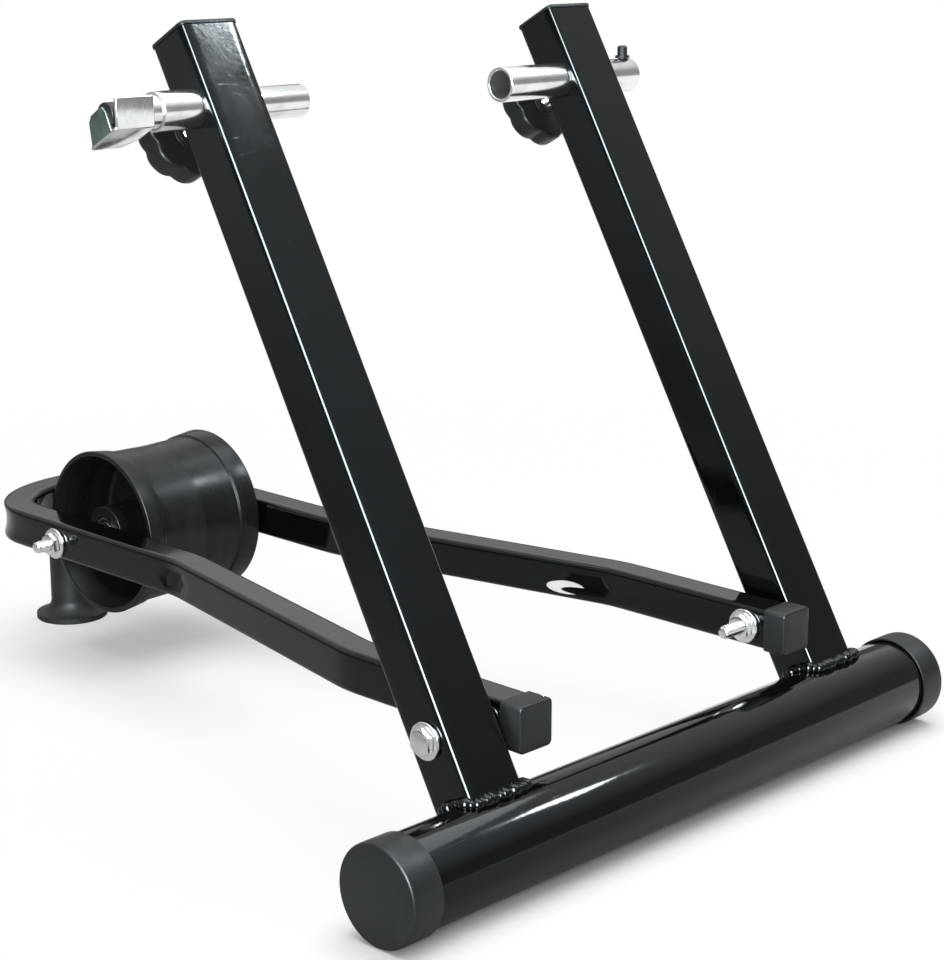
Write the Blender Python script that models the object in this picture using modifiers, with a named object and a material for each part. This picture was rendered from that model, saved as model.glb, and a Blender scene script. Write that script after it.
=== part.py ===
"""Folding bicycle trainer stand.

A base tube lies across the front and carries two leaning uprights, whose clamps hold the
bicycle's rear axle. A U-shaped rear frame is hinged between the uprights and carries the
roller that the tyre turns, and one foot. +X runs along the base tube, +Y to the rear and
+Z up. The origin is on the floor under the middle of the whole stand.
"""
import math

import bmesh
import bpy
from mathutils import Matrix, Vector

# Driving dimensions, in metres and degrees
TOUCH_GAP = 0.0003
RUNNING_GAP = 0.0001

BASE_DIAMETER = 0.0508
BASE_OVERHANG = 0.0594
BASE_WALL = 0.002
BASE_CAP_WALL = 0.0012
BASE_CAP_END = 0.003
BASE_CAP_LENGTH = 0.020
BASE_CAP_EDGE = 0.0015

UPRIGHT_WIDTH = 0.038
UPRIGHT_DEPTH = 0.030
UPRIGHT_WALL = 0.002
UPRIGHT_CORNER = 0.003
UPRIGHT_HEIGHT = 0.4592
UPRIGHT_SPACING = 0.2912
UPRIGHT_SHIFT = 0.005
UPRIGHT_SET_BACK = 0.0026
UPRIGHT_LEAN = 28.57
PLUG_FLANGE = 0.0022
PLUG_OVERHANG = 0.0007
PLUG_DEPTH = 0.014
WELD_WIDTH = 0.0045

CLAMP_BELOW_TOP = 0.0424
SLEEVE_DIAMETER = 0.0216
SLEEVE_WALL = 0.0014
SLEEVE_OUTER_REACH = 0.0274
SLEEVE_INNER_REACH = 0.002
PIN_DIAMETER = 0.0186
PIN_WALL = 0.0023
PIN_INNER_REACH = 0.0372
PIN_OUTER_REACH = 0.0065
CLAMP_TUBE_DIAMETER = 0.0215
CLAMP_TUBE_WALL = 0.002
CLAMP_TUBE_INNER_REACH = 0.0536
CLAMP_TUBE_OUTER_REACH = 0.028
PEG_HEAD_DIAMETER = 0.0064
PEG_HEAD_HEIGHT = 0.0078
PEG_FLANGE_DIAMETER = 0.0092
PEG_FLANGE_HEIGHT = 0.0016
PEG_SHANK_DIAMETER = 0.005
PEG_SHANK_LENGTH = 0.004
PEG_EDGE = 0.001
PEG_FROM_END = 0.005

LEVER_SHEET = 0.002
LEVER_LENGTH = 0.025
LEVER_DEPTH = 0.0245
LEVER_HEIGHT = 0.0165
LEVER_SET_FORWARD = 0.0118
LEVER_DROP = 0.0067
LEVER_GAP = 0.0015
LEVER_SPINDLE_LENGTH = 0.050
CHEEK_HEIGHT = 0.0162
CHEEK_CROWN = 0.0009
CHEEK_LOW_FRONT = 0.0039
CHEEK_TOP_FRONT = 0.0012
CHEEK_TOP_MIDDLE = 0.0067
CHEEK_TOP_REAR = 0.0188

LOCK_SCREW_DIAMETER = 0.008
LOCK_NUT_ACROSS = 0.013
LOCK_NUT_HEIGHT = 0.0065
KNOB_RADIUS = 0.0212
KNOB_LOBE = 0.002
KNOB_LOBES = 7
KNOB_THICKNESS = 0.014
KNOB_STAND_OFF = 0.0176
KNOB_HUB_DIAMETER = 0.019
KNOB_HUB_LENGTH = 0.008
KNOB_EDGE = 0.003
SCREW_IN_KNOB = 0.017

PIVOT_HEIGHT = 0.0619
PIVOT_BOLT_DIAMETER = 0.008
PIVOT_BOLT_LENGTH = 0.0893
PIVOT_GAP = 0.0046
WASHER_DIAMETER = 0.0205
WASHER_THICKNESS = 0.002
HEX_ACROSS = 0.013
HEX_HEAD_HEIGHT = 0.0045
HEX_NUT_HEIGHT = 0.0065
BOLT_EDGE = 0.001
SPACER_DIAMETER = 0.018

ARM_WIDTH = 0.0226
ARM_HEIGHT = 0.0242
ARM_WALL = 0.0018
ARM_CORNER = 0.003
ARM_RISE = 1.12
LEFT_ARM_REACH = 0.0228
RIGHT_ARM_REACH = 0.026
FRONT_KINK = 0.108
REAR_KINK = 0.313
BEND_START = 0.483
BEND_DEPTH = 0.0494
REAR_HALF_WIDTH = 0.0669
KINK_RADIUS = 0.09
ARM_CAP_WALL = 0.0007
ARM_CAP_END = 0.003
ARM_CAP_LENGTH = 0.015
ARM_CAP_EDGE = 0.0006

AXLE_PLACE = 0.437
AXLE_DROP = 0.0016
AXLE_DIAMETER = 0.008
AXLE_STICK_OUT = 0.0172
AXLE_NUT_HEIGHT = 0.0055
DRUM_LEFT_GAP = 0.0139
DRUM_RIGHT_GAP = 0.0033
DRUM_WAIST_RADIUS = 0.0517
DRUM_WAIST_HALF = 0.003
DRUM_FLARE = 0.0008
DRUM_STEP = 0.0014
DRUM_STEP_SLOPE = 0.001
DRUM_RIM_FLARE = 0.0019
DRUM_RIM_WIDTH = 0.0143
DRUM_RIM_WALL = 0.0035
DRUM_SHELL = 0.004
DRUM_WEB = 0.006
DRUM_HUB_RADIUS = 0.017
DRUM_HUB_INSET = 0.004
DRUM_EDGE = 0.0015
BEARING_DIAMETER = 0.022
BEARING_WIDTH = 0.007
BEARING_SHOULDER = 0.003
AXLE_SPACER_DIAMETER = 0.013

FOOT_COLUMN_RADIUS = 0.0145
FOOT_BASE_RADIUS = 0.0253
FOOT_FLARE_HEIGHT = 0.014
FOOT_RIM_HEIGHT = 0.004
FOOT_BORE_RADIUS = 0.0095
FOOT_ROOF = 0.012
FOOT_EDGE = 0.001
FOOT_SCREW_DIAMETER = 0.008
FOOT_SCREW_HEAD_DIAMETER = 0.014
FOOT_SCREW_HEAD_HEIGHT = 0.005
FOOT_SCREW_GRIP = 0.006

# Sizes that follow from the driving dimensions
BASE_LENGTH = UPRIGHT_SPACING + UPRIGHT_WIDTH + 2 * BASE_OVERHANG
BASE_RADIUS = BASE_DIAMETER / 2
BASE_CAP_RADIUS = BASE_RADIUS + TOUCH_GAP + BASE_CAP_WALL
UPRIGHT_PLACE = UPRIGHT_SPACING / 2
UPRIGHT_OUTER = UPRIGHT_PLACE + UPRIGHT_WIDTH / 2
UPRIGHT_INNER = UPRIGHT_PLACE - UPRIGHT_WIDTH / 2
UPRIGHT_BACK = UPRIGHT_SET_BACK + UPRIGHT_DEPTH / 2
CLAMP_HEIGHT = UPRIGHT_HEIGHT - CLAMP_BELOW_TOP
ARM_OUTER = UPRIGHT_INNER - PIVOT_GAP
ARM_PLACE = ARM_OUTER - ARM_WIDTH / 2
REAR_INNER = REAR_HALF_WIDTH - ARM_WIDTH / 2
REAR_OUTER = REAR_HALF_WIDTH + ARM_WIDTH / 2
FOOT_PLACE = BEND_START + BEND_DEPTH
LEAN = math.radians(UPRIGHT_LEAN)
RISE = math.radians(ARM_RISE)
PIVOT_Y = UPRIGHT_SET_BACK * math.cos(LEAN) + PIVOT_HEIGHT * math.sin(LEAN)
PIVOT_Z = BASE_CAP_RADIUS - UPRIGHT_SET_BACK * math.sin(LEAN) + PIVOT_HEIGHT * math.cos(LEAN)
FOOT_Y = PIVOT_Y + FOOT_PLACE * math.cos(RISE)
STAND_SHIFT = (FOOT_Y + FOOT_BASE_RADIUS - BASE_CAP_RADIUS) / 2
FOOT_HEIGHT = PIVOT_Z + FOOT_PLACE * math.sin(RISE) - ARM_HEIGHT / 2 - 2 * TOUCH_GAP
DRUM_HALF = REAR_INNER - (DRUM_LEFT_GAP + DRUM_RIGHT_GAP) / 2
DRUM_SHIFT = (DRUM_LEFT_GAP - DRUM_RIGHT_GAP) / 2
DRUM_HUB_END = DRUM_HALF - DRUM_HUB_INSET
DRUM_RIM_RADIUS = DRUM_WAIST_RADIUS + DRUM_FLARE + DRUM_STEP + DRUM_RIM_FLARE

BASE_STEPS = 40
ROUND_STEPS = 32
SMALL_STEPS = 20
DRUM_STEPS = 44
MERGE = 0.00001
SIDES = {"left": -1, "right": 1}
ALONG_X = (0.0, math.pi / 2, 0.0)
ALONG_Y = (-math.pi / 2, 0.0, 0.0)


def remove_old_objects():
    for thing in list(bpy.data.objects):
        bpy.data.objects.remove(thing)


def new_collection(name):
    group = bpy.data.collections.new(name)
    bpy.context.scene.collection.children.link(group)
    return group


remove_old_objects()
PARTS = new_collection("bike_trainer")
CUTTERS = new_collection("cutters")


def finish(name, colour, roughness, metallic):
    """A plain material for one piece."""
    made = bpy.data.materials.new(name)
    made.use_nodes = True
    shader = made.node_tree.nodes["Principled BSDF"]
    shader.inputs["Base Color"].default_value = (*colour, 1.0)
    shader.inputs["Roughness"].default_value = roughness
    shader.inputs["Metallic"].default_value = metallic
    return made


def painted(name):
    return finish(name, (0.012, 0.013, 0.015), 0.12, 0.0)


def plated(name):
    return finish(name, (0.72, 0.74, 0.75), 0.22, 1.0)


def black_plastic(name):
    return finish(name, (0.02, 0.021, 0.023), 0.5, 0.0)


def drum_plastic(name):
    return finish(name, (0.015, 0.016, 0.018), 0.35, 0.0)


def foot_rubber(name):
    return finish(name, (0.025, 0.026, 0.028), 0.6, 0.0)


def ground_steel(name):
    return finish(name, (0.55, 0.56, 0.57), 0.3, 1.0)


def guide(name, parent=None, place=(0.0, 0.0, 0.0), turn=(0.0, 0.0, 0.0)):
    """An empty that carries pieces which share its axes."""
    thing = bpy.data.objects.new(name, None)
    thing.location = place
    thing.rotation_euler = turn
    thing.parent = parent
    PARTS.objects.link(thing)
    return thing


def add_object(name, mesh, look, parent, place=(0.0, 0.0, 0.0), turn=(0.0, 0.0, 0.0)):
    """A piece of the stand, or a cutter where it has no look."""
    thing = bpy.data.objects.new(name, mesh)
    thing.location = place
    thing.rotation_euler = turn
    thing.parent = parent
    if look is None:
        CUTTERS.objects.link(thing)
        thing.hide_render = True
        thing.display_type = "WIRE"
    else:
        PARTS.objects.link(thing)
        mesh.materials.append(look(name + "_finish"))
    return thing


def cut(thing, cutter, operation="DIFFERENCE"):
    step = thing.modifiers.new(operation.lower() + "_" + cutter.name, "BOOLEAN")
    step.operation = operation
    step.object = cutter
    step.solver = "EXACT"


def smooth(mesh, sharp_over=35.0):
    mesh.shade_smooth()
    mesh.set_sharp_from_angle(angle=math.radians(sharp_over))


def cylinder(name, radius, length, look, parent, place=(0.0, 0.0, 0.0), turn=(0.0, 0.0, 0.0),
             steps=SMALL_STEPS):
    """A round bar, centred on its place, with its length along its own Z."""
    mesh = bpy.data.meshes.new(name)
    work = bmesh.new()
    bmesh.ops.create_cone(work, cap_ends=True, segments=steps, radius1=radius, radius2=radius,
                          depth=length)
    work.to_mesh(mesh)
    work.free()
    smooth(mesh)
    return add_object(name, mesh, look, parent, place, turn)


def box(name, size, look, parent, place=(0.0, 0.0, 0.0), turn=(0.0, 0.0, 0.0)):
    mesh = bpy.data.meshes.new(name)
    work = bmesh.new()
    bmesh.ops.create_cube(work, size=1.0, matrix=Matrix.Diagonal((*size, 1.0)))
    work.to_mesh(mesh)
    work.free()
    return add_object(name, mesh, look, parent, place, turn)


def turned(name, profile, look, parent, place=(0.0, 0.0, 0.0), turn=(0.0, 0.0, 0.0),
           steps=ROUND_STEPS, closed=False):
    """A turned piece. The profile holds (radius, height) points, down its outer side."""
    mesh = bpy.data.meshes.new(name)
    count = len(profile)
    edges = [(i, i + 1) for i in range(count - 1)]
    if closed:
        edges.append((count - 1, 0))
    mesh.from_pydata([(radius, 0.0, height) for radius, height in profile], edges, [])
    thing = add_object(name, mesh, look, parent, place, turn)
    lathe = thing.modifiers.new("lathe", "SCREW")
    lathe.axis = "Z"
    lathe.steps = steps
    lathe.render_steps = steps
    lathe.use_merge_vertices = True
    lathe.merge_threshold = MERGE
    lathe.use_smooth_shade = True
    return thing


def ring(name, outer, inner, length, look, parent, place=(0.0, 0.0, 0.0),
         turn=(0.0, 0.0, 0.0), steps=SMALL_STEPS):
    """A tube, washer or spacer, centred on its place, with its length along its own Z."""
    half = length / 2
    profile = [(outer, half), (outer, -half), (inner, -half), (inner, half)]
    return turned(name, profile, look, parent, place, turn, steps, closed=True)


def rounded_rectangle(width, depth, radius, steps=2):
    """Points round a rectangle with rounded corners, anticlockwise."""
    points = []
    for corner, (sign_x, sign_y) in enumerate(((1, 1), (-1, 1), (-1, -1), (1, -1))):
        middle_x = sign_x * (width / 2 - radius)
        middle_y = sign_y * (depth / 2 - radius)
        for step in range(steps + 1):
            angle = math.pi / 2 * (corner + step / steps)
            points.append((middle_x + radius * math.cos(angle), middle_y + radius * math.sin(angle)))
    return points


def flat_curve(name, outlines, cyclic=True):
    data = bpy.data.curves.new(name, "CURVE")
    data.dimensions = "2D"
    for outline in outlines:
        spline = data.splines.new("POLY")
        spline.points.add(len(outline) - 1)
        for point, (x, y) in zip(spline.points, outline):
            point.co = (x, y, 0.0, 1.0)
        spline.use_cyclic_u = cyclic
    thing = bpy.data.objects.new(name, data)
    PARTS.objects.link(thing)
    return thing


def curve_to_mesh(thing, name, weld=MERGE):
    """The mesh of a curve object, with its caps welded. The curve is removed."""
    bpy.context.view_layer.update()
    graph = bpy.context.evaluated_depsgraph_get()
    mesh = bpy.data.meshes.new_from_object(thing.evaluated_get(graph))
    mesh.name = name
    mesh.materials.clear()
    work = bmesh.new()
    work.from_mesh(mesh)
    bmesh.ops.remove_doubles(work, verts=work.verts, dist=weld)
    bmesh.ops.recalc_face_normals(work, faces=work.faces)
    work.to_mesh(mesh)
    work.free()
    bpy.data.objects.remove(thing)
    return mesh


def prism(name, outlines, thickness, look, parent, place=(0.0, 0.0, 0.0),
          turn=(0.0, 0.0, 0.0), edge=0.0):
    """A flat outline, with any holes, given a thickness along its own Z, centred on its place."""
    shape = flat_curve(name + "_outline", outlines)
    shape.data.fill_mode = "BOTH"
    shape.data.extrude = thickness / 2 - edge
    shape.data.bevel_depth = edge
    shape.data.bevel_resolution = 0
    shape.data.offset = -edge
    mesh = curve_to_mesh(shape, name)
    smooth(mesh)
    return add_object(name, mesh, look, parent, place, turn)


def sweep(name, route, section, look, parent):
    """A section carried along a flat route."""
    profile = flat_curve(name + "_section", [section])
    path = flat_curve(name + "_route", [route], cyclic=False)
    path.data.bevel_mode = "OBJECT"
    path.data.bevel_object = profile
    path.data.use_fill_caps = True
    mesh = curve_to_mesh(path, name)
    bpy.data.objects.remove(profile)
    smooth(mesh)
    return add_object(name, mesh, look, parent)


def side_name(name, side):
    return name + "_" + side


# The uprights' axes: X across, Y square to the uprights to the rear, Z up along them
UPRIGHT_AXES = guide("upright_axes", None, (UPRIGHT_SHIFT, -STAND_SHIFT, BASE_CAP_RADIUS),
                     (-LEAN, 0.0, 0.0))
PIVOT_AXES = guide("rear_frame_pivot", UPRIGHT_AXES, (0.0, UPRIGHT_SET_BACK, PIVOT_HEIGHT),
                   (LEAN + RISE, 0.0, 0.0))
ROLLER_AXES = guide("roller_axis", PIVOT_AXES, (0.0, AXLE_PLACE, -AXLE_DROP))


def base_tube():
    ring("base_tube", BASE_RADIUS, BASE_RADIUS - BASE_WALL, BASE_LENGTH, painted, None,
         (0.0, -STAND_SHIFT, BASE_CAP_RADIUS), ALONG_X, steps=BASE_STEPS)


def base_caps():
    """Push-on caps, each with its closed end outwards."""
    mouth = BASE_RADIUS + TOUCH_GAP
    end = BASE_CAP_END
    profile = [(0.0, end), (BASE_CAP_RADIUS - BASE_CAP_EDGE, end),
               (BASE_CAP_RADIUS, end - BASE_CAP_EDGE), (BASE_CAP_RADIUS, end - BASE_CAP_LENGTH),
               (mouth, end - BASE_CAP_LENGTH), (mouth, 0.0), (0.0, 0.0)]
    for side, sign in SIDES.items():
        place = (sign * (BASE_LENGTH / 2 + TOUCH_GAP), -STAND_SHIFT, BASE_CAP_RADIUS)
        turned(side_name("base_cap", side), profile, black_plastic, None, place,
               (0.0, sign * math.pi / 2, 0.0), steps=BASE_STEPS)


def base_cutter(name, extra):
    """A bar on the base tube's axis, this much larger than the tube."""
    return cylinder(name, BASE_RADIUS + extra, BASE_LENGTH, None, None,
                    (0.0, -STAND_SHIFT, BASE_CAP_RADIUS), ALONG_X, steps=BASE_STEPS)


def upright_outline(grow=0.0):
    return rounded_rectangle(UPRIGHT_WIDTH + 2 * grow, UPRIGHT_DEPTH + 2 * grow,
                             UPRIGHT_CORNER + grow)


def uprights():
    """Rectangular tubes, coped over the base tube and bored for clamps, screws and pivots."""
    start = BASE_RADIUS / 3
    length = UPRIGHT_HEIGHT - start
    cope = base_cutter("cope_cutter", TOUCH_GAP)
    through = UPRIGHT_WIDTH * 1.5
    clamp_holes = {"left": SLEEVE_DIAMETER / 2 + TOUCH_GAP,
                   "right": CLAMP_TUBE_DIAMETER / 2 + RUNNING_GAP}
    for side, sign in SIDES.items():
        here = sign * UPRIGHT_PLACE
        outlines = [upright_outline(), upright_outline(-UPRIGHT_WALL)]
        tube = prism(side_name("upright", side), outlines, length, painted, UPRIGHT_AXES,
                     (here, UPRIGHT_SET_BACK, start + length / 2))
        cut(tube, cope)
        clamp_hole = cylinder(side_name("clamp_hole", side), clamp_holes[side], through, None,
                              UPRIGHT_AXES, (here, UPRIGHT_SET_BACK, CLAMP_HEIGHT), ALONG_X,
                              steps=ROUND_STEPS)
        cut(tube, clamp_hole)
        pivot_hole = cylinder(side_name("pivot_hole", side), PIVOT_BOLT_DIAMETER / 2 + TOUCH_GAP,
                              through, None, UPRIGHT_AXES, (here, UPRIGHT_SET_BACK, PIVOT_HEIGHT),
                              ALONG_X)
        cut(tube, pivot_hole)
        screw_hole = cylinder(side_name("screw_hole", side), LOCK_SCREW_DIAMETER / 2 + TOUCH_GAP,
                              UPRIGHT_DEPTH, None, UPRIGHT_AXES,
                              (here, UPRIGHT_BACK, CLAMP_HEIGHT), ALONG_Y)
        cut(tube, screw_hole)


def top_plugs():
    """A flange over each tube's top, with a spigot inside it."""
    spigot_depth = PLUG_DEPTH - PLUG_FLANGE
    for side, sign in SIDES.items():
        here = sign * UPRIGHT_PLACE
        flange_place = UPRIGHT_HEIGHT + TOUCH_GAP + PLUG_FLANGE / 2
        plug = prism(side_name("top_plug", side), [upright_outline(PLUG_OVERHANG)], PLUG_FLANGE,
                     black_plastic, UPRIGHT_AXES, (here, UPRIGHT_SET_BACK, flange_place))
        spigot = prism(side_name("plug_spigot", side), [upright_outline(-UPRIGHT_WALL - TOUCH_GAP)],
                       spigot_depth, None, UPRIGHT_AXES,
                       (here, UPRIGHT_SET_BACK, UPRIGHT_HEIGHT + 2 * TOUCH_GAP - spigot_depth / 2))
        cut(plug, spigot, "UNION")


def weld_beads():
    """A bead all round each upright's foot, lying on the base tube."""
    inside = base_cutter("weld_inside", TOUCH_GAP)
    outside = base_cutter("weld_outside", WELD_WIDTH)
    low = BASE_RADIUS / 3
    high = BASE_RADIUS + WELD_WIDTH
    for side, sign in SIDES.items():
        outlines = [upright_outline(WELD_WIDTH), upright_outline(TOUCH_GAP)]
        bead = prism(side_name("weld_bead", side), outlines, high - low, painted, UPRIGHT_AXES,
                     (sign * UPRIGHT_PLACE, UPRIGHT_SET_BACK, (low + high) / 2))
        cut(bead, outside, "INTERSECT")
        cut(bead, inside)


def lock_hole(name, parent, place, diameter):
    return cylinder(name, diameter / 2 + TOUCH_GAP, UPRIGHT_DEPTH, None, parent, place, ALONG_Y)


def left_clamp():
    """A sleeve through the left upright, with a pin that slides and a lever that turns in it."""
    start = -UPRIGHT_OUTER - SLEEVE_OUTER_REACH
    end = -UPRIGHT_INNER + SLEEVE_INNER_REACH
    sleeve = ring("clamp_sleeve_left", SLEEVE_DIAMETER / 2, SLEEVE_DIAMETER / 2 - SLEEVE_WALL,
                  end - start, plated, UPRIGHT_AXES,
                  ((start + end) / 2, UPRIGHT_SET_BACK, CLAMP_HEIGHT), ALONG_X, steps=ROUND_STEPS)
    hole = lock_hole("sleeve_screw_hole", UPRIGHT_AXES,
                     (-UPRIGHT_PLACE, UPRIGHT_BACK, CLAMP_HEIGHT), LOCK_SCREW_DIAMETER)
    cut(sleeve, hole)
    pin_start = start - PIN_OUTER_REACH
    pin_end = -UPRIGHT_INNER + PIN_INNER_REACH
    ring("clamp_pin_left", PIN_DIAMETER / 2, PIN_DIAMETER / 2 - PIN_WALL, pin_end - pin_start,
         plated, UPRIGHT_AXES, ((pin_start + pin_end) / 2, UPRIGHT_SET_BACK, CLAMP_HEIGHT),
         ALONG_X, steps=ROUND_STEPS)
    clamp_lever(pin_start - LEVER_GAP)


def clamp_lever(inner_end):
    """A folded sheet with a web, a flange and a cheek, and a spindle that turns in the pin."""
    outer_end = inner_end - LEVER_LENGTH
    middle = (outer_end + inner_end) / 2
    front = -LEVER_SET_FORWARD
    axes = guide("lever_axis", UPRIGHT_AXES, (0.0, UPRIGHT_SET_BACK, CLAMP_HEIGHT), (LEAN, 0.0, 0.0))
    lever = box("clamp_lever_left", (LEVER_LENGTH, LEVER_SHEET, LEVER_HEIGHT), plated, axes)
    web = Matrix.Translation((middle, front + LEVER_SHEET / 2, LEVER_HEIGHT / 2 - LEVER_DROP))
    lever.data.transform(web)
    fold = guide("lever_fold", axes, (outer_end, front, -LEVER_DROP), (-LEAN, 0.0, 0.0))
    flange = box("lever_flange", (LEVER_LENGTH, LEVER_DEPTH, LEVER_SHEET), None, fold,
                 (LEVER_LENGTH / 2, LEVER_DEPTH / 2, LEVER_SHEET / 2))
    cut(lever, flange, "UNION")
    low = LEVER_SHEET / 2
    places = [(low, CHEEK_LOW_FRONT), (CHEEK_HEIGHT - CHEEK_CROWN, CHEEK_TOP_FRONT),
              (CHEEK_HEIGHT, CHEEK_TOP_MIDDLE), (CHEEK_HEIGHT, CHEEK_TOP_REAR),
              (low, LEVER_DEPTH - low)]
    cheek = prism("lever_cheek", [[(-height, along) for height, along in places]], LEVER_SHEET, None,
                  fold, (LEVER_SHEET / 2, 0.0, 0.0), ALONG_X)
    cut(lever, cheek, "UNION")
    spindle_radius = PIN_DIAMETER / 2 - PIN_WALL - RUNNING_GAP
    spindle = cylinder("lever_spindle", spindle_radius, LEVER_SPINDLE_LENGTH, None, axes,
                       (outer_end + LEVER_SHEET / 2 + LEVER_SPINDLE_LENGTH / 2, 0.0, 0.0), ALONG_X,
                       steps=ROUND_STEPS)
    cut(lever, spindle, "UNION")


def right_clamp():
    """A tube that slides through the right upright, with a peg in its outer end."""
    start = UPRIGHT_INNER - CLAMP_TUBE_INNER_REACH
    end = UPRIGHT_OUTER + CLAMP_TUBE_OUTER_REACH
    radius = CLAMP_TUBE_DIAMETER / 2
    tube = ring("clamp_tube_right", radius, radius - CLAMP_TUBE_WALL, end - start, plated,
                UPRIGHT_AXES, ((start + end) / 2, UPRIGHT_SET_BACK, CLAMP_HEIGHT), ALONG_X,
                steps=ROUND_STEPS)
    axes = guide("peg_axis", UPRIGHT_AXES, (end - PEG_FROM_END, UPRIGHT_SET_BACK, CLAMP_HEIGHT),
                 (LEAN, 0.0, 0.0))
    hole = cylinder("peg_hole", PEG_SHANK_DIAMETER / 2 + TOUCH_GAP, radius * 2, None, axes,
                    (0.0, 0.0, radius))
    cut(tube, hole)
    seat = radius + TOUCH_GAP
    head = PEG_HEAD_DIAMETER / 2
    flange = PEG_FLANGE_DIAMETER / 2
    shank = PEG_SHANK_DIAMETER / 2
    profile = [(0.0, PEG_HEAD_HEIGHT), (head - PEG_EDGE, PEG_HEAD_HEIGHT),
               (head, PEG_HEAD_HEIGHT - PEG_EDGE), (head, PEG_FLANGE_HEIGHT),
               (flange, PEG_FLANGE_HEIGHT), (flange, 0.0), (shank, 0.0),
               (shank, -PEG_SHANK_LENGTH), (0.0, -PEG_SHANK_LENGTH)]
    turned("clamp_peg_right", profile, black_plastic, axes, (0.0, 0.0, seat), steps=SMALL_STEPS)


def knob_outline():
    """A round outline with shallow lobes."""
    points = []
    steps_in_a_lobe = 6
    count = KNOB_LOBES * steps_in_a_lobe
    for step in range(count):
        angle = 2 * math.pi * step / count
        radius = KNOB_RADIUS + KNOB_LOBE * math.cos(KNOB_LOBES * angle)
        points.append((radius * math.cos(angle), radius * math.sin(angle)))
    return points


def hexagon(across):
    radius = across / math.sqrt(3)
    return [(radius * math.cos(math.pi / 3 * k), radius * math.sin(math.pi / 3 * k)) for k in range(6)]


def circle(radius, steps=SMALL_STEPS):
    return [(radius * math.cos(2 * math.pi * k / steps), radius * math.sin(2 * math.pi * k / steps))
            for k in range(steps)]


def locking_knobs():
    """A nut on each upright's rear face, its screw, and the knob on the screw."""
    clamp_radius = {"left": PIN_DIAMETER / 2, "right": CLAMP_TUBE_DIAMETER / 2}
    radius = LOCK_SCREW_DIAMETER / 2
    head_start = UPRIGHT_BACK + KNOB_STAND_OFF
    for side, sign in SIDES.items():
        here = sign * UPRIGHT_PLACE
        prism(side_name("lock_nut", side), [hexagon(LOCK_NUT_ACROSS), circle(radius + RUNNING_GAP)],
              LOCK_NUT_HEIGHT, plated, UPRIGHT_AXES,
              (here, UPRIGHT_BACK + TOUCH_GAP + LOCK_NUT_HEIGHT / 2, CLAMP_HEIGHT), ALONG_Y)
        tip = UPRIGHT_SET_BACK + clamp_radius[side] + TOUCH_GAP
        end = head_start + SCREW_IN_KNOB - KNOB_HUB_LENGTH
        cylinder(side_name("lock_screw", side), radius, end - tip, plated, UPRIGHT_AXES,
                 (here, (tip + end) / 2, CLAMP_HEIGHT), ALONG_Y)
        knob = prism(side_name("lock_knob", side), [knob_outline()], KNOB_THICKNESS, black_plastic,
                     UPRIGHT_AXES, (here, head_start + KNOB_THICKNESS / 2, CLAMP_HEIGHT), ALONG_Y,
                     edge=KNOB_EDGE)
        hub_reach = KNOB_HUB_LENGTH + KNOB_THICKNESS / 2
        hub = cylinder(side_name("knob_hub", side), KNOB_HUB_DIAMETER / 2, hub_reach, None,
                       UPRIGHT_AXES, (here, head_start - KNOB_HUB_LENGTH + hub_reach / 2, CLAMP_HEIGHT),
                       ALONG_Y)
        cut(knob, hub, "UNION")
        bore_end = end + TOUCH_GAP
        bore_start = head_start - 2 * KNOB_HUB_LENGTH
        bore = cylinder(side_name("knob_bore", side), radius + TOUCH_GAP, bore_end - bore_start, None,
                        UPRIGHT_AXES, (here, (bore_start + bore_end) / 2, CLAMP_HEIGHT), ALONG_Y)
        cut(knob, bore)


def hex_bolt(name, parent, head_face, away, shank_length, diameter):
    """A bolt along X. Its head's under side is at head_face, and away is the head's side."""
    radius = diameter / 2
    turn = (0.0, away * math.pi / 2, 0.0)
    profile = [(0.0, HEX_HEAD_HEIGHT / 2), (radius, HEX_HEAD_HEIGHT / 2),
               (radius, BOLT_EDGE - shank_length), (radius - BOLT_EDGE, -shank_length),
               (0.0, -shank_length)]
    bolt = turned(name, profile, plated, parent, (head_face, 0.0, 0.0), turn, steps=SMALL_STEPS)
    head = prism(name + "_head", [hexagon(HEX_ACROSS)], HEX_HEAD_HEIGHT, None, parent,
                 (head_face + away * HEX_HEAD_HEIGHT / 2, 0.0, 0.0), turn)
    cut(bolt, head, "UNION")


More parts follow.
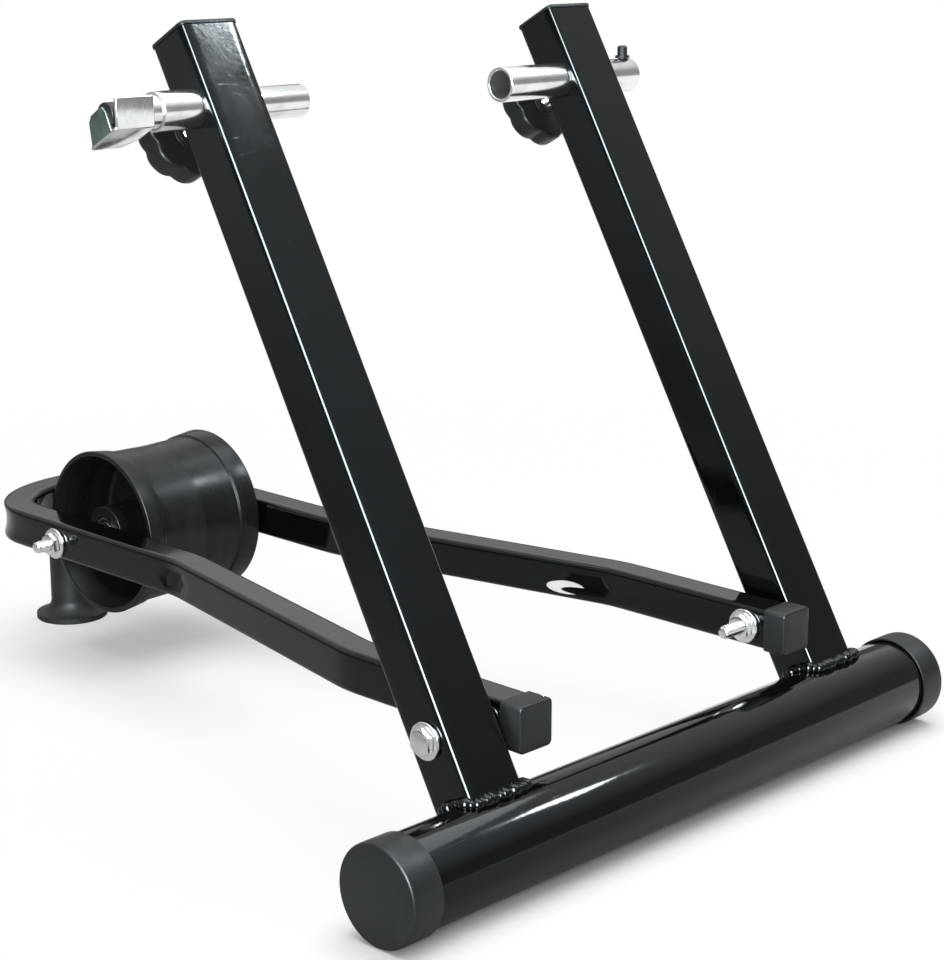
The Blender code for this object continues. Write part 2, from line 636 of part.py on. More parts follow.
def pivots():
    """On each side a bolt through upright and arm, with washers, a spacer and a nut."""
    radius = PIVOT_BOLT_DIAMETER / 2
    bore = radius + TOUCH_GAP
    gap = TOUCH_GAP
    for side, sign in SIDES.items():
        axes = guide(side_name("pivot_axis", side), UPRIGHT_AXES,
                     (0.0, UPRIGHT_SET_BACK, PIVOT_HEIGHT))
        washer_place = UPRIGHT_OUTER + gap + WASHER_THICKNESS / 2
        ring(side_name("pivot_washer_outer", side), WASHER_DIAMETER / 2, bore, WASHER_THICKNESS,
             plated, axes, (sign * washer_place, 0.0, 0.0), ALONG_X)
        head_face = washer_place + WASHER_THICKNESS / 2 + gap
        hex_bolt(side_name("pivot_bolt", side), axes, sign * head_face, sign,
                 PIVOT_BOLT_LENGTH, PIVOT_BOLT_DIAMETER)
        spacer = PIVOT_GAP - 2 * gap
        ring(side_name("pivot_spacer", side), SPACER_DIAMETER / 2, bore, spacer, plated, axes,
             (sign * (UPRIGHT_INNER - PIVOT_GAP / 2), 0.0, 0.0), ALONG_X)
        arm_inner = ARM_OUTER - ARM_WIDTH
        inner_washer = arm_inner - gap - WASHER_THICKNESS / 2
        ring(side_name("pivot_washer_inner", side), WASHER_DIAMETER / 2, bore, WASHER_THICKNESS,
             plated, axes, (sign * inner_washer, 0.0, 0.0), ALONG_X)
        nut_place = inner_washer - WASHER_THICKNESS / 2 - gap - HEX_NUT_HEIGHT / 2
        prism(side_name("pivot_nut", side), [hexagon(HEX_ACROSS), circle(bore)], HEX_NUT_HEIGHT,
              plated, axes, (sign * nut_place, 0.0, 0.0), ALONG_X)


def rounded_corner(before, corner, after, radius, steps=3):
    """Points round an arc that replaces a corner of a route."""
    corner = Vector(corner)
    one = (Vector(before) - corner).normalized()
    two = (Vector(after) - corner).normalized()
    half = one.angle(two) / 2
    reach = radius / math.tan(half)
    middle = corner + (one + two).normalized() * radius / math.sin(half)
    start = corner + one * reach - middle
    end = corner + two * reach - middle
    points = []
    for step in range(steps + 1):
        share = step / steps
        way = start.lerp(end, share).normalized() * radius
        points.append(tuple(middle + way))
    return points


def frame_route(extra=0.0):
    """The middle line of the U, from the left arm's front round to the right arm's."""
    pivot = (-ARM_PLACE, 0.0)
    kink_one = (-ARM_PLACE, FRONT_KINK)
    kink_two = (-REAR_HALF_WIDTH, REAR_KINK)
    straight = (-REAR_HALF_WIDTH, BEND_START)
    half = rounded_corner(pivot, kink_one, kink_two, KINK_RADIUS)
    half += rounded_corner(kink_one, kink_two, straight, KINK_RADIUS)
    steps = 7
    for step in range(steps):
        angle = math.pi / 2 * step / steps
        half.append((-REAR_HALF_WIDTH * math.cos(angle), BEND_START + BEND_DEPTH * math.sin(angle)))
    other = [(-x, y) for x, y in reversed(half)]
    left_front = (-ARM_PLACE, -LEFT_ARM_REACH - extra)
    right_front = (ARM_PLACE, -RIGHT_ARM_REACH - extra)
    return [left_front] + half + [(0.0, BEND_START + BEND_DEPTH)] + other + [right_front]


def rear_frame():
    """One bent tube, open at both front ends, bored for pivots, axle and foot screw."""
    section = rounded_rectangle(ARM_WIDTH, ARM_HEIGHT, ARM_CORNER)
    hollow = rounded_rectangle(ARM_WIDTH - 2 * ARM_WALL, ARM_HEIGHT - 2 * ARM_WALL,
                               ARM_CORNER - ARM_WALL, steps=1)
    frame = sweep("rear_frame", frame_route(), section, painted, PIVOT_AXES)
    inside = sweep("frame_inside", frame_route(ARM_WIDTH), hollow, None, PIVOT_AXES)
    cut(frame, inside)
    pivot_hole = cylinder("arm_pivot_hole", PIVOT_BOLT_DIAMETER / 2 + RUNNING_GAP, 3 * ARM_PLACE,
                          None, PIVOT_AXES, turn=ALONG_X)
    cut(frame, pivot_hole)
    axle_hole = cylinder("arm_axle_hole", AXLE_DIAMETER / 2 + TOUCH_GAP, 3 * REAR_HALF_WIDTH, None,
                         ROLLER_AXES, turn=ALONG_X)
    cut(frame, axle_hole)
    foot_hole = cylinder("arm_foot_hole", FOOT_SCREW_DIAMETER / 2 + TOUCH_GAP, ARM_HEIGHT, None,
                         PIVOT_AXES, (0.0, FOOT_PLACE, -ARM_HEIGHT / 2))
    cut(frame, foot_hole)


def arm_caps():
    """A square cap over each arm's front end."""
    grow = TOUCH_GAP + ARM_CAP_WALL
    outer = rounded_rectangle(ARM_WIDTH + 2 * grow, ARM_HEIGHT + 2 * grow, ARM_CORNER)
    mouth = rounded_rectangle(ARM_WIDTH + 2 * TOUCH_GAP, ARM_HEIGHT + 2 * TOUCH_GAP,
                              ARM_CORNER + TOUCH_GAP)
    reach = {"left": LEFT_ARM_REACH, "right": RIGHT_ARM_REACH}
    for side, sign in SIDES.items():
        here = sign * ARM_PLACE
        face = -reach[side] - TOUCH_GAP - ARM_CAP_END
        cap = prism(side_name("arm_cap", side), [outer], ARM_CAP_LENGTH, black_plastic, PIVOT_AXES,
                    (here, face + ARM_CAP_LENGTH / 2, 0.0), ALONG_Y, edge=ARM_CAP_EDGE)
        hollow = prism(side_name("cap_hollow", side), [mouth], ARM_CAP_LENGTH, None, PIVOT_AXES,
                       (here, face + ARM_CAP_END + ARM_CAP_LENGTH / 2, 0.0), ALONG_Y)
        cut(cap, hollow)


def drum_profile():
    """The drum's section: a shell with two stepped rims, one web in the middle, and the hub."""
    half = DRUM_HALF
    rim = DRUM_RIM_RADIUS
    waist = DRUM_WAIST_RADIUS
    mouth = rim - DRUM_RIM_WALL
    inside = waist - DRUM_SHELL
    seat = BEARING_DIAMETER / 2 + TOUCH_GAP
    shoulder = BEARING_DIAMETER / 2 - BEARING_SHOULDER
    hub_end = DRUM_HUB_END
    hub = DRUM_HUB_RADIUS
    web = DRUM_WEB / 2
    seat_depth = hub_end - BEARING_WIDTH - TOUCH_GAP
    rim_start = half - DRUM_RIM_WIDTH
    right_side = [(mouth, half), (rim - DRUM_EDGE, half), (rim, half - DRUM_EDGE),
                  (waist + DRUM_FLARE + DRUM_STEP, rim_start),
                  (waist + DRUM_FLARE, rim_start - DRUM_STEP_SLOPE), (waist, DRUM_WAIST_HALF)]
    left_side = [(radius, -height) for radius, height in reversed(right_side)]
    left_hollow = [(inside, -rim_start), (inside, -web), (hub, -web), (hub, -hub_end),
                   (seat, -hub_end), (seat, -seat_depth), (shoulder, -seat_depth)]
    right_hollow = [(radius, -height) for radius, height in reversed(left_hollow)]
    return right_side + left_side + left_hollow + right_hollow


def roller():
    """The drum, its two bearings, the axle that carries them, and what holds the axle."""
    gap = TOUCH_GAP
    radius = AXLE_DIAMETER / 2
    spinning = guide("roller_spin_axis", ROLLER_AXES, (DRUM_SHIFT, 0.0, 0.0))
    turned("roller_drum", drum_profile(), drum_plastic, spinning, turn=ALONG_X, steps=DRUM_STEPS,
           closed=True)
    bearing_place = DRUM_HUB_END - BEARING_WIDTH / 2
    for side, sign in SIDES.items():
        ring(side_name("bearing", side), BEARING_DIAMETER / 2, radius + RUNNING_GAP, BEARING_WIDTH,
             ground_steel, spinning, (sign * bearing_place, 0.0, 0.0), ALONG_X)
        bearing_face = DRUM_SHIFT + sign * DRUM_HUB_END
        arm_face = sign * REAR_INNER
        length = abs(arm_face - bearing_face) - 2 * gap
        ring(side_name("axle_spacer", side), AXLE_SPACER_DIAMETER / 2, radius + gap, length, plated,
             ROLLER_AXES, ((arm_face + bearing_face) / 2, 0.0, 0.0), ALONG_X)
        washer = sign * (REAR_OUTER + gap + WASHER_THICKNESS / 2)
        ring(side_name("axle_washer", side), WASHER_DIAMETER / 2, radius + gap, WASHER_THICKNESS,
             plated, ROLLER_AXES, (washer, 0.0, 0.0), ALONG_X)
    between = 2 * (DRUM_HUB_END - BEARING_WIDTH) - 2 * gap
    ring("bearing_spacer", AXLE_SPACER_DIAMETER / 2, radius + gap, between, plated, ROLLER_AXES,
         (DRUM_SHIFT, 0.0, 0.0), ALONG_X)
    head_face = REAR_OUTER + WASHER_THICKNESS + 2 * gap
    hex_bolt("roller_axle", ROLLER_AXES, head_face, 1, head_face + REAR_OUTER + AXLE_STICK_OUT,
             AXLE_DIAMETER)
    nut = REAR_OUTER + 2 * gap + WASHER_THICKNESS + AXLE_NUT_HEIGHT / 2
    prism("axle_nut", [hexagon(HEX_ACROSS), circle(radius + gap)], AXLE_NUT_HEIGHT, plated,
          ROLLER_AXES, (-nut, 0.0, 0.0), ALONG_X)


def foot():
    """A flared foot under the rear of the U, with the screw that holds it."""
    axes = guide("foot_axis", PIVOT_AXES, (0.0, FOOT_PLACE, 0.0), (-RISE, 0.0, 0.0))
    ground = FOOT_PLACE * math.sin(RISE) + PIVOT_Z
    column = FOOT_COLUMN_RADIUS
    flare = FOOT_BASE_RADIUS - column
    flare_height = FOOT_FLARE_HEIGHT - FOOT_RIM_HEIGHT
    outer = [(column - FOOT_EDGE, FOOT_HEIGHT), (column, FOOT_HEIGHT - FOOT_EDGE)]
    steps = 5
    for step in range(steps + 1):
        angle = math.pi / 2 * step / steps
        outer.append((FOOT_BASE_RADIUS - flare * math.cos(angle),
                      FOOT_RIM_HEIGHT + flare_height * (1 - math.sin(angle))))
    outer.append((FOOT_BASE_RADIUS, 0.0))
    roof = FOOT_HEIGHT - FOOT_ROOF
    hole = FOOT_SCREW_DIAMETER / 2 + TOUCH_GAP
    inner = [(FOOT_BORE_RADIUS, 0.0), (FOOT_BORE_RADIUS, roof), (hole, roof), (hole, FOOT_HEIGHT)]
    turned("rear_foot", outer + inner, foot_rubber, axes, (0.0, 0.0, -ground), closed=True)
    head = FOOT_SCREW_HEAD_DIAMETER / 2
    shank = FOOT_SCREW_DIAMETER / 2
    top = FOOT_HEIGHT + FOOT_SCREW_GRIP
    seat = roof - TOUCH_GAP
    profile = [(0.0, top), (shank, top), (shank, seat), (head, seat),
               (head, seat - FOOT_SCREW_HEAD_HEIGHT), (0.0, seat - FOOT_SCREW_HEAD_HEIGHT)]
    turned("foot_screw", profile, plated, axes, (0.0, 0.0, -ground), steps=SMALL_STEPS)


base_tube()
base_caps()
uprights()
top_plugs()
weld_beads()
left_clamp()
right_clamp()
locking_knobs()
pivots()
rear_frame()
arm_caps()
roller()
foot()
bpy.context.view_layer.update()
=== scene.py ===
"""Looks of a folding bicycle trainer stand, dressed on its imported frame.

The file is laid out as a Blender add-on and is run as a script: main() registers the classes
and calls their operators in order. Sizes are in metres. +X runs along the base tube, +Y to
the rear and +Z up.
"""
import math

import bmesh
import bpy
from bpy.props import FloatProperty, FloatVectorProperty, IntProperty, PointerProperty
from mathutils import Matrix, Vector


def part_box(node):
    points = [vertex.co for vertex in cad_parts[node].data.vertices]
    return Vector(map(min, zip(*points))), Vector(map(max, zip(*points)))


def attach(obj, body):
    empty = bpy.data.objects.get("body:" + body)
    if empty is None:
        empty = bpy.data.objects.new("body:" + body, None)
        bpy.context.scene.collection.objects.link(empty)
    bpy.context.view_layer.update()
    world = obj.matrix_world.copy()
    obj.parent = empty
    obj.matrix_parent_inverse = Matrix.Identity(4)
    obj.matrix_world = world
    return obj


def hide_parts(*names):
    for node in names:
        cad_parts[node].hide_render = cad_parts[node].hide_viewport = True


bl_info = {
    "name": "Bicycle Trainer Stand",
    "version": (1, 0, 0),
    "blender": (4, 5, 0),
    "location": "View3D > Sidebar > Trainer",
    "description": "Dresses the packed frame of a folding bicycle trainer stand",
    "category": "Add Mesh",
}

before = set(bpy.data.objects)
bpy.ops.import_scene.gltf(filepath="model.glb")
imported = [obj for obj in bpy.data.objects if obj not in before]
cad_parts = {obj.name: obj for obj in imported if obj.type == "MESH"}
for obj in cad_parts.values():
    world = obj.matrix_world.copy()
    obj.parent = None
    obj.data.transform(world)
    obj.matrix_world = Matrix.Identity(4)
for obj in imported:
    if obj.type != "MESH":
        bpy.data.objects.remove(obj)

# How the uprights lean and the arms rise, as in the frame's own source
LEAN = math.radians(28.57)
RISE = math.radians(1.12)
# The rear frame's route along its own arms, measured from the pivots
FRONT_KINK = 0.108
REAR_KINK = 0.313
BEND_START = 0.483
BEND_DEPTH = 0.0494
REAR_HALF_WIDTH = 0.0669
KINK_RADIUS = 0.09
# The dents pressed into the arms: where they lie along the route, and half their lengths
DENTS = {"left": REAR_KINK - 0.002, "right": FRONT_KINK + 0.017}
DENT_REACH = {"left": 0.0165, "right": 0.021}
DENT_HALF_HEIGHT = 0.0068
DENT_DROP = 0.0016

# How many sides round pieces have, and how close two points count as one
ROUND = 96
SMALL_ROUND = 64
TINY = 0.000002
# The bolts, their bores and their hexagons
BORE = 0.0043
SHANK = 0.004
HEX_ACROSS = 0.013
HEX_HEAD = 0.0045
HEX_RELIEF = 0.0009
THIN_NUT = 0.0042
# Walls of the tubes and the lever's sheet
TUBE_WALL = 0.002
SHEET = 0.002
QUARTER = math.pi / 2
SIDES = {"left": -1, "right": 1}
LEVEL = Matrix.Identity(4)
ALONG_X = Matrix.Rotation(QUARTER, 4, "Y")
ALONG_Y = Matrix.Rotation(-QUARTER, 4, "X")


class Span:
    """A node's box, on the frame's axes or on others."""

    def __init__(self, node, axes=None):
        if axes is None:
            self.low, self.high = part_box(node)
        else:
            back = axes.inverted()
            places = [back @ vertex.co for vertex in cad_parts[node].data.vertices]
            self.low = Vector([min(line) for line in zip(*places)])
            self.high = Vector([max(line) for line in zip(*places)])
        self.size = self.high - self.low
        self.middle = (self.low + self.high) / 2


def at(place, axes=LEVEL):
    return axes @ Matrix.Translation(place)


def along_x(place):
    """Axes at this place whose Z runs along the frame's X."""
    return at(place) @ ALONG_X


BASE = Span("base_tube").middle
PIVOT = Span("pivot_washer_inner_left").middle
AXLE = Span("axle_washer_left").middle
ACROSS = (Span("upright_left").low.x + Span("upright_right").high.x) / 2
LEANING = at((ACROSS, BASE.y, BASE.z)) @ Matrix.Rotation(-LEAN, 4, "X")
FOLDING = at((ACROSS, PIVOT.y, PIVOT.z)) @ Matrix.Rotation(RISE, 4, "X")


# Node trees, for materials and for geometry


def put(tree, kind, inputs=(), **settings):
    """A new node. Its inputs are plain values or other nodes' outputs."""
    node = tree.nodes.new(kind)
    for key, value in settings.items():
        setattr(node, key, value)
    for key, value in dict(inputs).items():
        value = value.socket if isinstance(value, Number) else value
        if isinstance(value, bpy.types.NodeSocket):
            tree.links.new(value, node.inputs[key])
        else:
            node.inputs[key].default_value = value
    return node


def take(tree, output, kind, inputs=(), **settings):
    """One output of a new node, ready for sums."""
    return Number(tree, put(tree, kind, inputs, **settings).outputs[output])


def maths(tree, operation, one, two=0.0):
    return take(tree, 0, "ShaderNodeMath", {0: one, 1: two}, operation=operation)


class Number:
    """A node's output. A sum with it adds a Math node to its tree."""

    def __init__(self, tree, socket):
        self.tree, self.socket = tree, socket

    def __add__(self, other):
        return maths(self.tree, "ADD", self, other)

    def __sub__(self, other):
        return maths(self.tree, "SUBTRACT", self, other)

    def __rsub__(self, other):
        return maths(self.tree, "SUBTRACT", other, self)

    def __mul__(self, other):
        return maths(self.tree, "MULTIPLY", self, other)

    def __truediv__(self, other):
        return maths(self.tree, "DIVIDE", self, other)

    def __abs__(self):
        return maths(self.tree, "ABSOLUTE", self)


def split(tree, vector):
    """A vector's X, Y and Z."""
    parts = put(tree, "ShaderNodeSeparateXYZ", {0: vector}).outputs
    return [Number(tree, part) for part in parts]


def graded(tree, value, low, high, to_low=0.0, to_high=1.0, **settings):
    """The value's place between low and high, on another scale and held at its ends."""
    return take(tree, 0, "ShaderNodeMapRange", {
        "Value": value, "From Min": low, "From Max": high, "To Min": to_low, "To Max": to_high},
        **settings)


def blend(tree, share, one, two):
    return take(tree, 0, "ShaderNodeMix", {0: share, 2: one, 3: two})


class Recipe:
    """A material in the making, on Object coordinates."""

    def __init__(self, name, colour, roughness, metallic=0.0, specular=0.3):
        self.name = name
        self.material = bpy.data.materials.new(name)
        self.material.use_nodes = True
        self.tree = self.material.node_tree
        self.shader = self.tree.nodes["Principled BSDF"]
        self.colour = (*colour, 1.0)
        self.normal = None
        self.place = take(self.tree, "Object", "ShaderNodeTexCoord")
        settings = {"Base Color": self.colour, "Roughness": roughness, "Metallic": metallic,
                    "Specular IOR Level": specular}
        if not metallic:
            settings["Specular Tint"] = (0.82, 0.94, 1.0, 1.0)
        for key, value in settings.items():
            self.shader.inputs[key].default_value = value

    def noise(self, scale, detail, turn=(0.0, 0.0, 0.0)):
        """Noise of this scale. Three scales stretch it along the turned axes."""
        place = self.place
        if isinstance(scale, tuple):
            place = put(self.tree, "ShaderNodeMapping", {
                "Vector": place, "Rotation": turn, "Scale": scale}).outputs[0]
            scale = 1.0
        return take(self.tree, "Fac", "ShaderNodeTexNoise", {
            "Vector": place, "Scale": scale, "Detail": detail})

    def clouds(self, scale, detail, low, high, to_low=0.0, to_high=1.0):
        return graded(self.tree, self.noise(scale, detail), low, high, to_low, to_high)

    def tint(self, amount, colour):
        """Lays another colour over what is there, by this amount."""
        self.colour = put(self.tree, "ShaderNodeMix", {
            0: amount, 6: self.colour, 7: (*colour, 1.0)}, data_type="RGBA").outputs[2]
        self.tree.links.new(self.colour, self.shader.inputs["Base Color"])

    def roughen(self, value):
        self.tree.links.new(value.socket, self.shader.inputs["Roughness"])

    def bump(self, height, distance):
        inputs = {"Height": height, "Distance": distance}
        if self.normal is not None:
            inputs["Normal"] = self.normal
        self.normal = put(self.tree, "ShaderNodeBump", inputs).outputs[0]
        self.tree.links.new(self.normal, self.shader.inputs["Normal"])


def times(factor, colour):
    return tuple(factor * part for part in colour)


def mottled(name, colour, roughness, stain, tint, dull, grain, metallic=0.0, specular=0.3):
    """A finish with stains of another tint, uneven roughness and a fine grain.

    stain and dull hold what clouds() takes. grain is a noise's scale and detail, and its height.
    """
    made = Recipe(name, colour, roughness, metallic, specular)
    made.tint(made.clouds(*stain), tint)
    made.roughen(made.clouds(*dull))
    made.bump(made.noise(*grain[:2]), grain[2])
    return made


def gloss_paint(name, colour, peel):
    """Stove enamel: orange peel, hairline scratches and a little dust."""
    made = Recipe(name, colour, 0.09)
    hair = made.noise((60.0, 900.0, 90.0), 2.0, (0.5, 0.2, 0.35))
    lines = graded(made.tree, hair, 0.68, 0.76)
    made.tint(made.clouds(9.0, 4.0, 0.45, 0.8, 0.0, 0.35), times(3.0, colour))
    made.roughen(made.clouds(38.0, 5.0, 0.35, 0.75, 0.07, 0.13) + lines * 0.12)
    made.bump(made.noise(330.0, 1.0), peel)
    made.bump(lines, -0.00001)
    return made


def paint_with_dent_highlight(name, colour, peel):
    """The same enamel, with a painted highlight: a near-white crescent in its colour where the
    right arm is pressed in, standing for a reflection in the dent.
    """
    made = gloss_paint(name, colour, peel)
    tree = made.tree
    x, y, z = split(tree, made.place)
    spot = FOLDING @ Vector((0.105, DENTS["right"] + 0.011, -0.005))

    def inside(ahead, above, half_length, half_height):
        along = (y - (spot.y + ahead)) / half_length
        up = (z - (spot.z + above)) / half_height
        return graded(tree, along * along + up * up, 0.85, 1.0, 1.0, 0.0)

    # Painted highlight: the crescent's near-white tint stands for light reflected in the dent
    painted_highlight = inside(0.0, 0.0, 0.0135, 0.0042) * (1.0 - inside(-0.013, -0.0012, 0.0165, 0.0024))
    wall = maths(tree, "GREATER_THAN", x, 0.05) * maths(tree, "LESS_THAN", x, spot.x + 0.006)
    made.tint(painted_highlight * wall, (0.92, 0.93, 0.93))
    return made


def zinc_plate(colour):
    """Bright zinc: drawn lines round the bar, cloudy stains and small pits."""
    drawn = (2600.0, 160.0, 160.0)
    made = mottled("zinc_plate", colour, 0.2, (70.0, 5.0, 0.42, 0.7, 0.0, 0.4), (0.42, 0.44, 0.45),
                   (drawn, 3.0, 0.3, 0.7, 0.1, 0.26), (drawn, 3.0, 0.000012), metallic=1.0)
    made.bump(made.clouds(900.0, 2.0, 0.66, 0.75), -0.00002)
    return made


LOOKS = {}


def prepare_looks():
    """Makes each finish once, from the colours in the panel."""
    if LOOKS:
        return
    finishes = bpy.context.scene.trainer_finishes
    paint, plastic, knob, zinc, dull, drum, rubber, steel = (
        tuple(getattr(finishes, name)) for name in (
            "paint", "plastic", "knob", "zinc", "dull_zinc", "drum", "rubber", "steel"))
    scuffs = (90.0, 9.0, 9.0)
    # Gloss enamel, and the same enamel with a painted highlight in the right arm's dent
    made = [gloss_paint("gloss_black_paint", paint, finishes.peel),
            paint_with_dent_highlight("black_paint_with_dent_highlight", paint, finishes.peel)]
    # Moulded plastic with a fine spark-eroded grain and paler rubbed places
    made += [mottled(name, colour, roughness, (30.0, 6.0, 0.52, 0.75, 0.0, 0.5), times(1.6, colour),
                     (60.0, 4.0, 0.3, 0.7, roughness - 0.05, roughness + 0.07),
                     (1500.0, 2.0, 0.00003))
             for name, colour, roughness in (("black_plastic", plastic, 0.42),
                                             ("knob_plastic", knob, 0.36))]
    made.append(zinc_plate(zinc))
    # Passivated zinc: a greenish grey film with darker stains
    made.append(mottled("dull_zinc", dull, 0.34, (110.0, 5.0, 0.42, 0.7, 0.0, 0.7),
                        times(0.6, dull), (160.0, 4.0, 0.3, 0.7, 0.26, 0.44),
                        (1200.0, 3.0, 0.00001), metallic=1.0))
    # Satin drum: fine lines turned round it and scuffs where the tyre runs
    made.append(mottled("drum_plastic", drum, 0.3, (scuffs, 6.0, 0.5, 0.8, 0.0, 0.5),
                        (0.028, 0.030, 0.032), (scuffs, 6.0, 0.35, 0.75, 0.24, 0.42),
                        ((2300.0, 14.0, 14.0), 3.0, 0.00001), specular=0.2))
    # Dull rubber with dust caught in its grain
    made.append(mottled("foot_rubber", rubber, 0.55, (45.0, 6.0, 0.5, 0.8, 0.0, 0.6),
                        (0.06, 0.06, 0.058), (25.0, 3.0, 0.3, 0.7, 0.48, 0.62),
                        (900.0, 3.0, 0.00004)))
    # Ground bearing steel with an oily film, its colour darkened as painted shade for the drum's
    # recess
    made.append(mottled("bearing_steel", steel, 0.25, (120.0, 4.0, 0.45, 0.75, 0.0, 0.6),
                        times(0.6, steel), (200.0, 3.0, 0.3, 0.7, 0.18, 0.36),
                        ((3000.0, 200.0, 200.0), 2.0, 0.000008), metallic=1.0))
    LOOKS.update({recipe.name: recipe.material for recipe in made})


# Shapes


def settle(piece):
    """Turns the piece's modifiers into plain mesh."""
    bpy.context.view_layer.update()
    graph = bpy.context.evaluated_depsgraph_get()
    made = bpy.data.meshes.new_from_object(piece.evaluated_get(graph))
    piece.modifiers.clear()
    piece.data = made


def soften(mesh, sharp_over=38.0):
    """Smooth shading, with sharp edges where faces meet at more degrees than this."""
    mesh.shade_smooth()
    mesh.set_sharp_from_angle(angle=math.radians(sharp_over))


def show(name, data):
    """A new object in the scene."""
    thing = bpy.data.objects.new(name, data)
    bpy.context.scene.collection.objects.link(thing)
    return thing


def solid(name, work, axes, look, sharp_over=38.0):
    """A piece from a mesh in the making, put in its place."""
    bmesh.ops.remove_doubles(work, verts=work.verts, dist=TINY)
    bmesh.ops.recalc_face_normals(work, faces=work.faces)
    mesh = bpy.data.meshes.new(name)
    work.to_mesh(mesh)
    work.free()
    mesh.transform(axes)
    soften(mesh, sharp_over)
    mesh.materials.append(LOOKS[look])
    return show(name, mesh)


def loft(rings, closed=False, ends=True):
    """Walls between rings of points, which may shrink to one point, and flat ends."""
    work = bmesh.new()
    made = [[work.verts.new(point) for point in ring] for ring in rings]
    count = max(len(ring) for ring in made)
    for one, two in zip(made, made[1:] + made[:1] if closed else made[1:]):
        for i in range(count):
            j = (i + 1) % count
            corners = (one[i % len(one)], one[j % len(one)], two[j % len(two)], two[i % len(two)])
            work.faces.new(list(dict.fromkeys(corners)))
    if ends and not closed:
        work.faces.new(made[0])
        work.faces.new(made[-1])
    return work


def lathe(profile, steps=ROUND, closed=False):
    """A turned mesh about Z from (radius, height) points. An open profile ends on the axis."""
    turns = [2 * math.pi * k / steps for k in range(steps)]
    rings = [[(radius * math.cos(a), radius * math.sin(a), height) for a in turns]
             if radius > TINY else [(0.0, 0.0, height)] for radius, height in profile]
    return loft(rings, closed, ends=False)


def rounded(points, radius, steps=4, closed=True):
    """An outline with its corners rounded. The radius is one number, or one for each corner."""
    count = len(points)
    corners = [Vector(point) for point in points]
    made = []
    for i, corner in enumerate(corners):
        size = radius[i] if isinstance(radius, (list, tuple)) else radius
        if size == 0.0 or (not closed and i in (0, count - 1)):
            made.append(tuple(corner))
            continue
        to_last = corners[i - 1] - corner
        to_next = corners[(i + 1) % count] - corner
        one, two = to_last.normalized(), to_next.normalized()
        half = one.angle(two) / 2
        reach = min(size / math.tan(half), 0.48 * min(to_last.length, to_next.length))
        size = reach * math.tan(half)
        centre = corner + (one + two).normalized() * size / math.sin(half)
        start, end = corner + one * reach - centre, corner + two * reach - centre
        sweep = start.angle(end)
        for step in range(steps + 1):
            turn = sweep * step / steps
            made.append(tuple(centre + (start * math.sin(sweep - turn) + end * math.sin(turn))
                              / math.sin(sweep)))
    return made


def rounded_box(width, depth, radius, steps=6, side_steps=1):
    """Points round a rectangle with rounded corners. Each flat side is cut into even parts."""
    corners = []
    for corner, (x, y) in enumerate(((1, 1), (-1, 1), (-1, -1), (1, -1))):
        middle = Vector((x * (width / 2 - radius), y * (depth / 2 - radius)))
        turns = [QUARTER * (corner + step / steps) for step in range(steps + 1)]
        corners.append([middle + radius * Vector((math.cos(a), math.sin(a))) for a in turns])
    made = []
    for corner, following in zip(corners, corners[1:] + corners[:1]):
        made += corner
        made += [corner[-1].lerp(following[0], k / side_steps) for k in range(1, side_steps)]
    return made


def levelled(outline, height):
    return [Vector((x, y, height)) for x, y in outline]


def carve(piece, cutters, operation="DIFFERENCE"):
    """Cuts the piece with each cutter, or joins or keeps what they share."""
    for cutter in cutters:
        step = piece.modifiers.new("carve", "BOOLEAN")
        step.operation = operation
        step.object = cutter
        step.solver = "EXACT"
    settle(piece)
    for cutter in cutters:
        bpy.data.objects.remove(cutter)
    soften(piece.data)


def bar(radius, length, axes):
    """A plain round cutter, centred, with its length along Z."""
    half = length / 2
    profile = [(0, half), (radius, half), (radius, -half), (0, -half)]
    return solid("cutter", lathe(profile, SMALL_ROUND), axes, "gloss_black_paint")


def stands_for(piece, body, slot, *nodes):
    """The piece moves with this body and replaces these nodes. The slot is not used."""
    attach(piece, body)
    if nodes:
        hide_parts(*nodes)


def place_solid(name, work, axes, look, body, slot, *nodes):
    """A solid that needs no further work, on its body and in its nodes' stead."""
    stands_for(solid(name, work, axes, look), body, slot, *nodes)


def dress(node, look):
    """Gives a node that stays its finish."""
    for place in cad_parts[node].material_slots:
        place.material = LOOKS[look]


def tube(name, node, body, inner, look="zinc_plate", slot="zinc_plate", edge=0.0005,
         steps=ROUND):
    """A round tube or washer along X with rounded edges, as its node is."""
    span = Span(node)
    outer, half = span.size.z / 2, span.size.x / 2
    profile = rounded([(outer, half), (outer, -half), (inner, -half), (inner, half)], edge, 3)
    place_solid(name, lathe(profile, steps, closed=True), along_x(span.middle), look, body, slot,
                node)


def washer(name, node, body):
    tube(name, node, body, BORE, steps=SMALL_ROUND)


def hex_body(across, low, high, axes, both_ends=False):
    """A zinc hexagon along Z whose corners are turned off at its top, or at both ends."""
    corner = across / math.sqrt(3)
    outline = [(corner * math.cos(math.pi / 3 * k), corner * math.sin(math.pi / 3 * k))
               for k in range(6)]
    piece = solid("hexagon", loft([levelled(outline, low), levelled(outline, high)]), axes,
                  "zinc_plate")
    radius = corner * 1.05
    flat = across / 2 * 0.97
    drop = (radius - flat) * math.tan(math.radians(30))
    profile = [(0, high), (flat, high), (radius, high - drop)]
    profile += ([(radius, low + drop), (flat, low), (0, low)] if both_ends
                else [(radius, low - drop), (0, low - drop)])
    carve(piece, [solid("chamfer", lathe(profile), axes, "zinc_plate")], "INTERSECT")
    return piece


# Geometry Nodes trees


